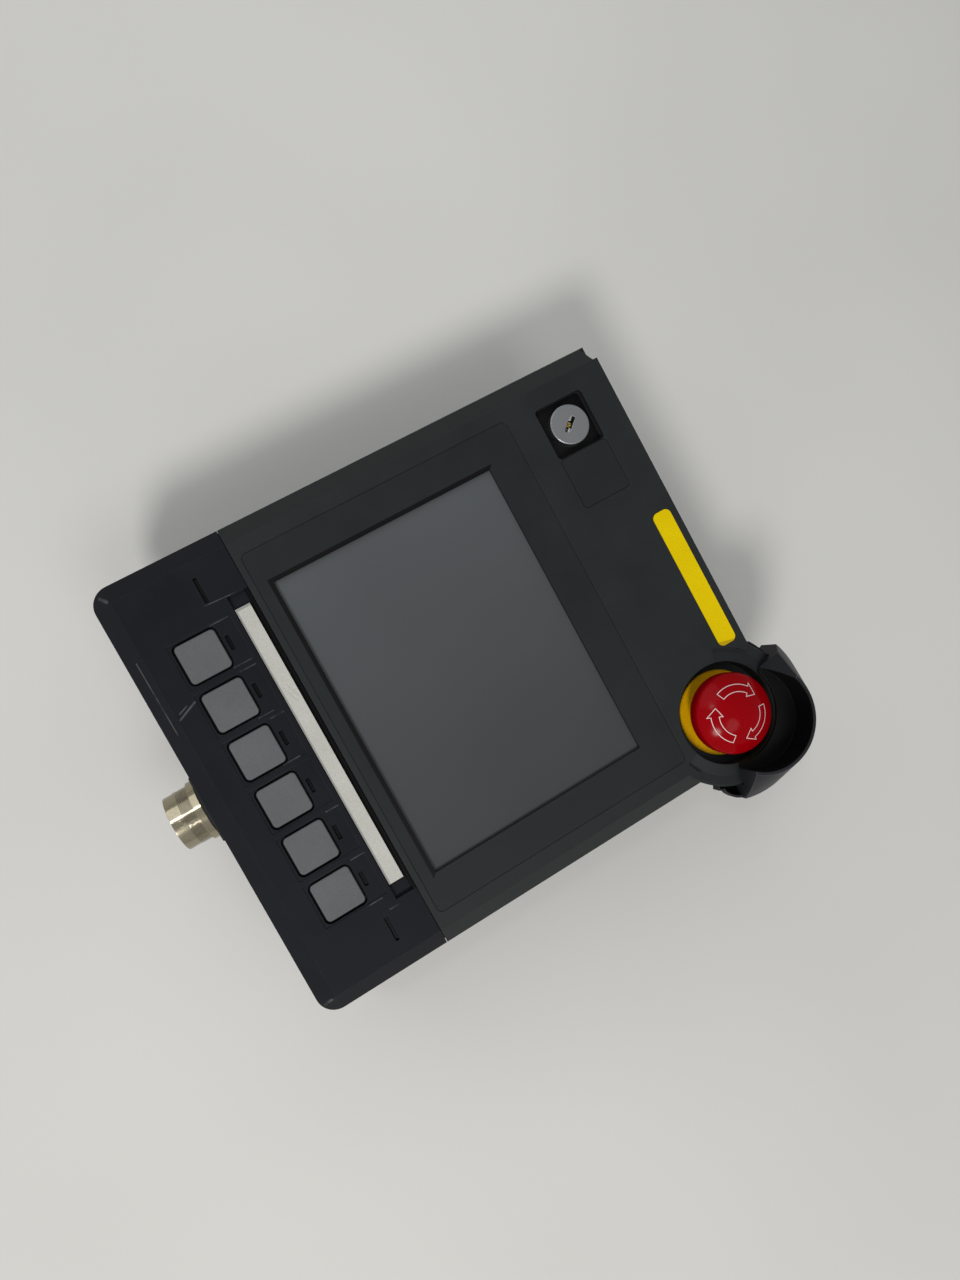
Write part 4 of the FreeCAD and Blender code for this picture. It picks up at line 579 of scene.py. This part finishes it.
# Mushroom head of the stop switch
HEAD_RADIUS = 17.5
HEAD_TOP = 92.5
HEAD_LOW = 79.5
HEAD_ROUND = 3.0
FOOT_ROUND = 1.2
DOME_RADIUS = 26.81
DOME_CENTRE = HEAD_TOP - DOME_RADIUS
STEM_RADIUS = 4.55
STEM_TOP = 85.75
HEAD_STEPS = 96
DOME_STEPS = 24
CORNER_STEPS = 10
FOOT_STEPS = 6


def head_profile():
    # Foot, side, rounded corner and dome from outside, then the hollow for the stem
    reach = DOME_RADIUS - HEAD_ROUND
    middle = HEAD_RADIUS - HEAD_ROUND
    level = DOME_CENTRE + math.sqrt(reach ** 2 - middle ** 2)
    lean = math.degrees(math.atan2(level - DOME_CENTRE, middle))
    dome = arc((0, DOME_CENTRE), DOME_RADIUS, lean, 90, DOME_STEPS)
    corner = arc((middle, level), HEAD_ROUND, 0, lean, CORNER_STEPS)
    foot = arc((HEAD_RADIUS - FOOT_ROUND, HEAD_LOW + FOOT_ROUND), FOOT_ROUND, -90, 0, FOOT_STEPS)
    hollow = [(0.0, STEM_TOP), (STEM_RADIUS, STEM_TOP), (STEM_RADIUS, HEAD_LOW)]
    return foot + corner + dome[1:] + hollow


head_data = bmesh.new()
lathe(head_data, head_profile(), HEAD_STEPS, Matrix.Translation(STOP))
close_lathe(head_data)
head = new_piece("stop_button", head_data, red, "stop_head")
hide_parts("estop_head")

# Three outlined arrows printed round the dome
ARROW_MIDDLES = (154.5, 34.5, -85.5)
ARROW_SPAN = math.radians(91)
ARROW_TIP = math.radians(20)
ARROW_INNER = 9.3
ARROW_OUTER = 12.4
ARROW_SPREAD = 1.5
ARROW_LINE = 0.28
ARROW_STEPS = 14
OUTLINE_STEP = 0.8
LINE_LOW = -0.06
LINE_HIGH = 0.035
LINE_SECTION = ((-0.5, LINE_LOW), (-0.5, LINE_HIGH), (0.5, LINE_HIGH), (0.5, LINE_LOW))
LINE_CORNER = 2.2  # most that the line widens at a sharp corner


def dome_point(radius, angle, lift):
    # A place on the dome, lifted off it by a few hundredths of a millimetre
    height = DOME_CENTRE + math.sqrt(DOME_RADIUS ** 2 - radius ** 2)
    spot = around(radius, angle, height)
    outward = Vector((spot.x, spot.y, spot.z - DOME_CENTRE)).normalized()
    return STOP + (spot + outward * lift) * MM


def arrow_outline(middle):
    # Points along one arrow in plan, its tip on the clockwise side
    start = middle + ARROW_SPAN / 2
    neck = middle - ARROW_SPAN / 2 + ARROW_TIP
    corners = []
    for step in range(ARROW_STEPS + 1):
        corners.append((ARROW_OUTER, start + (neck - start) * step / ARROW_STEPS))
    corners.append((ARROW_OUTER + ARROW_SPREAD, neck))
    corners.append(((ARROW_OUTER + ARROW_INNER) / 2, middle - ARROW_SPAN / 2))
    corners.append((ARROW_INNER - ARROW_SPREAD, neck))
    for step in range(ARROW_STEPS + 1):
        corners.append((ARROW_INNER, neck + (start - neck) * step / ARROW_STEPS))
    corners = [around(radius, angle, 0.0).xy for radius, angle in corners]
    outline = []
    for index, corner in enumerate(corners):
        before = corners[index - 1]
        pieces = max(1, math.ceil((corner - before).length / OUTLINE_STEP))
        for step in range(pieces):
            outline.append(before.lerp(corner, step / pieces))
    return outline


def ribbon(mesh, outline):
    # A thin raised line along a closed run of points on the dome
    count = len(outline)
    rows = []
    for index, here in enumerate(outline):
        before = (here - outline[index - 1]).normalized()
        after = (outline[(index + 1) % count] - here).normalized()
        side = (before + after).normalized()
        side = Vector((side.y, -side.x))
        stretch = 1 / max(side.dot(Vector((before.y, -before.x))), 1 / LINE_CORNER)
        row = []
        for share, lift in LINE_SECTION:
            spot = here + side * share * ARROW_LINE * stretch
            row.append(mesh.verts.new(dome_point(spot.length, math.atan2(spot.y, spot.x), lift)))
        rows.append(row)
    for index in range(count):
        join_rows(mesh, rows[index], rows[(index + 1) % count])


arrows = bmesh.new()
for middle in ARROW_MIDDLES:
    ribbon(arrows, arrow_outline(math.radians(middle)))
bmesh.ops.recalc_face_normals(arrows, faces=arrows.faces)
new_piece("stop_arrows", arrows, white_print, "stop_head", smooth=False)

# Hook with a pocket at the lower end of the guard
HOOK_LOW = 72.0
HOOK_FLOOR = 73.0
HOOK_TOP = 76.4
HOOK_INSIDE = 32.45
HOOK_ROUND = 0.12
HOOK_BEND = math.radians(40)  # edges that bend more than this are rounded
HOOK_STATIONS = [  # angle from the guard's direction, inside and outside of the wall
    (-63.6, 36.9, 38.0),
    (-66.3, 36.7, 37.8),
    (-69.0, 36.3, 37.4),
    (-71.7, 35.6, 36.7),
    (-74.4, 34.7, 35.7),
    (-76.1, 33.8, 34.7),
    (-77.2, 32.8, 33.4),
]


def hook_mesh():
    # A floor and an outer wall, swept along the stations
    mesh = bmesh.new()
    rows = []
    for angle, inner, outer in HOOK_STATIONS:
        turned = math.radians(GUARD_TURN + angle)
        section = [(HOOK_INSIDE, HOOK_LOW), (outer, HOOK_LOW), (outer, HOOK_TOP), (inner, HOOK_TOP),
                   (inner, HOOK_FLOOR), (HOOK_INSIDE, HOOK_FLOOR)]
        spots = [around(radius, turned, height) * MM for radius, height in section]
        rows.append([mesh.verts.new(STOP + spot) for spot in spots])
    for here, after in zip(rows, rows[1:]):
        join_rows(mesh, here, after)
    mesh.faces.new(rows[0])
    mesh.faces.new(rows[-1])
    bmesh.ops.recalc_face_normals(mesh, faces=mesh.faces)
    sharp = [edge for edge in mesh.edges if edge.calc_face_angle(0.0) > HOOK_BEND]
    bmesh.ops.bevel(mesh, geom=sharp, offset=HOOK_ROUND * MM, segments=2, affect="EDGES")
    return mesh


new_piece("guard_hook", hook_mesh(), hook, "housing", smooth=False)

# Wards and wafers in the key slot: places across and along the slot, and heights
WARD_SIZE = (0.98, 2.2, 3.6)
WARD_ROUND = 0.25
WARD_PLACES = ((-0.68, 2.62, 78.2), (0.68, -2.5, 78.2))
WAFER_SIZE = (1.5, 0.55, 2.0)
WAFER_PLACES = ((-0.12, 0.75, 78.0), (0.12, 0.1, 77.8), (-0.1, -0.55, 77.5))


def block(mesh, centre, size, turn=0.0, bevel=0.08):
    # A box with rounded edges, in millimetres
    place = Matrix.Translation(Vector(centre) * MM) @ Matrix.Rotation(turn, 4, "Z")
    scale = Matrix.Diagonal((*(Vector(size) * MM), 1.0))
    made = bmesh.ops.create_cube(mesh, size=1.0, matrix=place @ scale)
    edges = list({edge for vert in made["verts"] for edge in vert.link_edges})
    bmesh.ops.bevel(mesh, geom=edges, offset=bevel * MM, segments=2, affect="EDGES")


def in_slot(across, along, height):
    # A place in the key slot, in millimetres on the part
    turned = Matrix.Rotation(KEYWAY_ANGLE, 3, "Z") @ Vector((across, along, 0))
    return LOCK / MM + turned + Vector((0, 0, height))


wards = bmesh.new()
for spot in WARD_PLACES:
    block(wards, in_slot(*spot), WARD_SIZE, KEYWAY_ANGLE, WARD_ROUND)
new_piece("keyway_wards", wards, bright, "lock", smooth=False)
wafers = bmesh.new()
for spot in WAFER_PLACES:
    block(wafers, in_slot(*spot), WAFER_SIZE, KEYWAY_ANGLE)
new_piece("key_wafers", wafers, brass, "lock", smooth=False)

# Fine thread on the connector behind its mouth
THREAD_RINGS = 8
THREAD_START = 121.0
THREAD_PITCH = 0.62
THREAD_HALF = 0.26
THREAD_ROOT = 11.75
THREAD_CREST = 11.95
THREAD_STEPS = 72


def connector_rings():
    # Rings of a pointed section round the connector's axis
    mesh = bmesh.new()
    place = Matrix.Translation((0, 0, CONNECTOR_Z)) @ Matrix.Rotation(math.radians(90), 4, "X")
    for number in range(THREAD_RINGS):
        depth = THREAD_START + THREAD_PITCH * number
        low = depth - THREAD_HALF
        high = depth + THREAD_HALF
        ring = [(THREAD_ROOT, low), (THREAD_CREST, depth), (THREAD_ROOT, high)]
        lathe(mesh, ring, THREAD_STEPS, place)
    close_lathe(mesh)
    return mesh


new_piece("connector_thread", connector_rings(), nickel, "housing", smooth=False)

# Hand strap along the back, with rounded selvedges and stitching
STRAP_X = -20.0
STRAP_WIDTH = 28.0
STRAP_THICK = 1.6
STRAP_LOW = 1.25
STRAP_CORNERS = [(98.0, 36.8), (77.2, 36.8), (73.24, 6.0), (71.0, STRAP_LOW), (0.0, STRAP_LOW)]
STRAP_BENDS = ((1, 3.0), (2, 1.6), (3, 1.6))  # number of the corner, reach of its bend
BEND_STEPS = 6
STRAP_STEP = 3.0
STRAP_MIDDLE = 1.0  # the path ends this near to the middle, which is then added
STRAP_SHARES = (-0.96, -0.75, -0.5, -0.25, 0, 0.25, 0.5, 0.75, 0.96)
SELVEDGE = 0.35  # share of the thickness that stays upright at the edges


def strap_path():
    # Rounded run of the middle of the strap, from one end to the other
    corners = [Vector(corner) for corner in STRAP_CORNERS]
    half = [corners[0]]
    for index, reach in STRAP_BENDS:
        here = corners[index]
        before = (corners[index - 1] - here).normalized()
        after = (corners[index + 1] - here).normalized()
        for step in range(BEND_STEPS + 1):
            share = step / BEND_STEPS
            half.append(here + before * reach * (1 - share) ** 2 + after * reach * share ** 2)
    path = []
    for near, far in zip(half, half[1:]):
        pieces = max(1, round((far - near).length / STRAP_STEP))
        for step in range(pieces):
            path.append(near.lerp(far, step / pieces))
    path.append(half[-1])
    while path[-1].x > STRAP_MIDDLE:
        path.append(path[-1] - Vector((STRAP_STEP, 0)))
    path = [spot for spot in path if spot.x > STRAP_MIDDLE] + [Vector((0.0, STRAP_LOW))]
    return path + [Vector((-spot.x, spot.y)) for spot in reversed(path[:-1])]


def strap_section():
    # Across and lift of the points round the band
    half = STRAP_WIDTH / 2
    thick = STRAP_THICK / 2
    section = [(share * half, thick) for share in STRAP_SHARES]
    section += [(half, SELVEDGE * thick), (half, -SELVEDGE * thick)]
    section += [(share * half, -thick) for share in reversed(STRAP_SHARES)]
    section += [(-half, -SELVEDGE * thick), (-half, SELVEDGE * thick)]
    return section


def strap_mesh():
    # The section swept along the path, with flat coordinates across and along the band
    mesh = bmesh.new()
    layer = mesh.loops.layers.uv.new("flat")
    section = strap_section()
    path = strap_path()
    rows = []
    lengths = []
    length = 0.0
    for index, here in enumerate(path):
        before = path[max(index - 1, 0)]
        after = path[min(index + 1, len(path) - 1)]
        way = (after - before).normalized()
        out = Vector((-way.y, way.x))
        length += (here - path[index - 1]).length if index else 0.0
        lengths.append(length)
        row = []
        for across, lift in section:
            spot = here + out * lift
            row.append(mesh.verts.new(Vector((STRAP_X + across, spot.x, spot.y)) * MM))
        rows.append(row)
    count = len(section)
    for index in range(len(rows) - 1):
        for corner in range(count):
            following = (corner + 1) % count
            places = [(corner, index), (following, index), (following, index + 1), (corner, index + 1)]
            face = mesh.faces.new([rows[row][column] for column, row in places])
            for loop, (column, row) in zip(face.loops, places):
                loop[layer].uv = (section[column][0] * MM, lengths[row] * MM)
    mesh.faces.new(rows[0])
    mesh.faces.new(rows[-1])
    bmesh.ops.recalc_face_normals(mesh, faces=mesh.faces)
    return mesh


strap = new_piece("strap_band", strap_mesh(), cloth, "housing")
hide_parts("hand_strap")

# Stitches at both ends of the strap: two rows across, and short runs at the sides
STITCH_Z = 35.95
STITCH_ROUND = 0.14
ROW_PLACES = (79.6, 84.6)
ROW_COUNT = 11
ROW_PITCH = 2.2
ROW_STITCH = (1.5, 0.45, 0.34)
SIDE_PLACES = (-11.6, 11.6)
SIDE_COUNT = 3
SIDE_START = 80.6
SIDE_PITCH = 1.5
SIDE_STITCH = (0.45, 1.1, 0.34)

stitches = bmesh.new()
for end in (1, -1):
    for row in ROW_PLACES:
        for number in range(ROW_COUNT):
            across = ROW_PITCH * (number - (ROW_COUNT - 1) / 2)
            spot = (STRAP_X + across, end * row, STITCH_Z)
            block(stitches, spot, ROW_STITCH, bevel=STITCH_ROUND)
    for side in SIDE_PLACES:
        for number in range(SIDE_COUNT):
            spot = (STRAP_X + side, end * (SIDE_START + SIDE_PITCH * number), STITCH_Z)
            block(stitches, spot, SIDE_STITCH, bevel=STITCH_ROUND)
new_piece("strap_stitches", stitches, thread, "housing", smooth=False)

# Floor
FLOOR_SIZE = 3.0
FLOOR_TONES = ((0.60, 0.595, 0.57, 1.0), (0.66, 0.655, 0.63, 1.0))


def floor_material():
    material, tree = new_material("floor")
    point = object_point(tree)
    broad = noise(tree, point, 3.0, 2.0)
    fine = noise(tree, point, 420)
    finish_surface(tree, {
        "Base Color": mix(tree, even(tree, broad), *FLOOR_TONES),
        "Roughness": 0.8,
        "Normal": bumps(tree, 0.12, fine, 0.6),
    })
    return material


floor_data = bmesh.new()
bmesh.ops.create_grid(floor_data, x_segments=2, y_segments=2, size=FLOOR_SIZE)
floor_mesh = bpy.data.meshes.new("floor")
floor_data.to_mesh(floor_mesh)
floor_data.free()
floor_mesh.materials.append(floor_material())
floor = bpy.data.objects.new("floor", floor_mesh)
bpy.context.scene.collection.objects.link(floor)

# Light: name, place, size, power and colour of each round lamp, all turned towards one point
AIM = Vector((0, 0, 0.05))
LAMPS = [
    ("key_softbox", (0.8, -0.82, 1.45), 0.4, 15.0, (1.0, 0.985, 0.96)),
    ("side_card", (0.8, 0.05, 1.6), 0.7, 4.0, (1.0, 1.0, 1.0)),
    ("left_fill", (-1.0, -0.2, 1.0), 1.3, 4.6, (0.97, 0.985, 1.0)),
    ("ceiling_lamp", (-0.6, -0.43, 1.6), 0.16, 1.6, (1.0, 0.99, 0.97)),
]
for name, place, size, power, color in LAMPS:
    light = bpy.data.lights.new(name, "AREA")
    light.shape = "DISK"
    light.size = size
    light.energy = power
    light.color = color
    lamp_object = bpy.data.objects.new(name, light)
    lamp_object.location = place
    lamp_object.rotation_euler = (AIM - Vector(place)).to_track_quat("-Z", "Y").to_euler()
    bpy.context.scene.collection.objects.link(lamp_object)

# World: dim where it lights the part, and pale where it is seen, mirrored or looked through
DIM_SKY = {"Color": (0.98, 0.99, 1.0, 1.0), "Strength": 0.31}
PALE_SKY = {"Color": (0.93, 0.93, 0.92, 1.0), "Strength": 0.55}
world = bpy.data.worlds.new("studio")
bpy.context.scene.world = world
world.use_nodes = True
sky = world.node_tree
sky.nodes.clear()
rays = add(sky, "LightPath")
direct = math_node(sky, "MAXIMUM", rays.outputs["Is Camera Ray"], rays.outputs["Is Transmission Ray"])
seen = math_node(sky, "MAXIMUM", direct, rays.outputs["Is Glossy Ray"])
dim = add(sky, "Background", DIM_SKY)
pale = add(sky, "Background", PALE_SKY)
both = add(sky, "MixShader", {0: seen, 1: dim.outputs[0], 2: pale.outputs[0]})
add(sky, "OutputWorld", {"Surface": both.outputs[0]})

# Camera, solved from the corners that show in the photograph
camera_data = bpy.data.cameras.new("camera")
camera_data.sensor_fit = "HORIZONTAL"
camera_data.sensor_width = 36.0
camera_data.lens = 33.2625
camera_data.clip_start = 0.01
camera = bpy.data.objects.new("camera", camera_data)
camera.matrix_world = Matrix((
    (0.47909432, -0.87597247, -0.05604349, -0.02699315),
    (0.85690335, 0.48059114, -0.18641029, -0.05613357),
    (0.19022429, 0.04128425, 0.98087223, 0.43664143),
    (0, 0, 0, 1),
))
bpy.context.scene.collection.objects.link(camera)
bpy.context.scene.camera = camera
bpy.context.scene.view_settings.view_transform = "Standard"

bpy.context.view_layer.update()
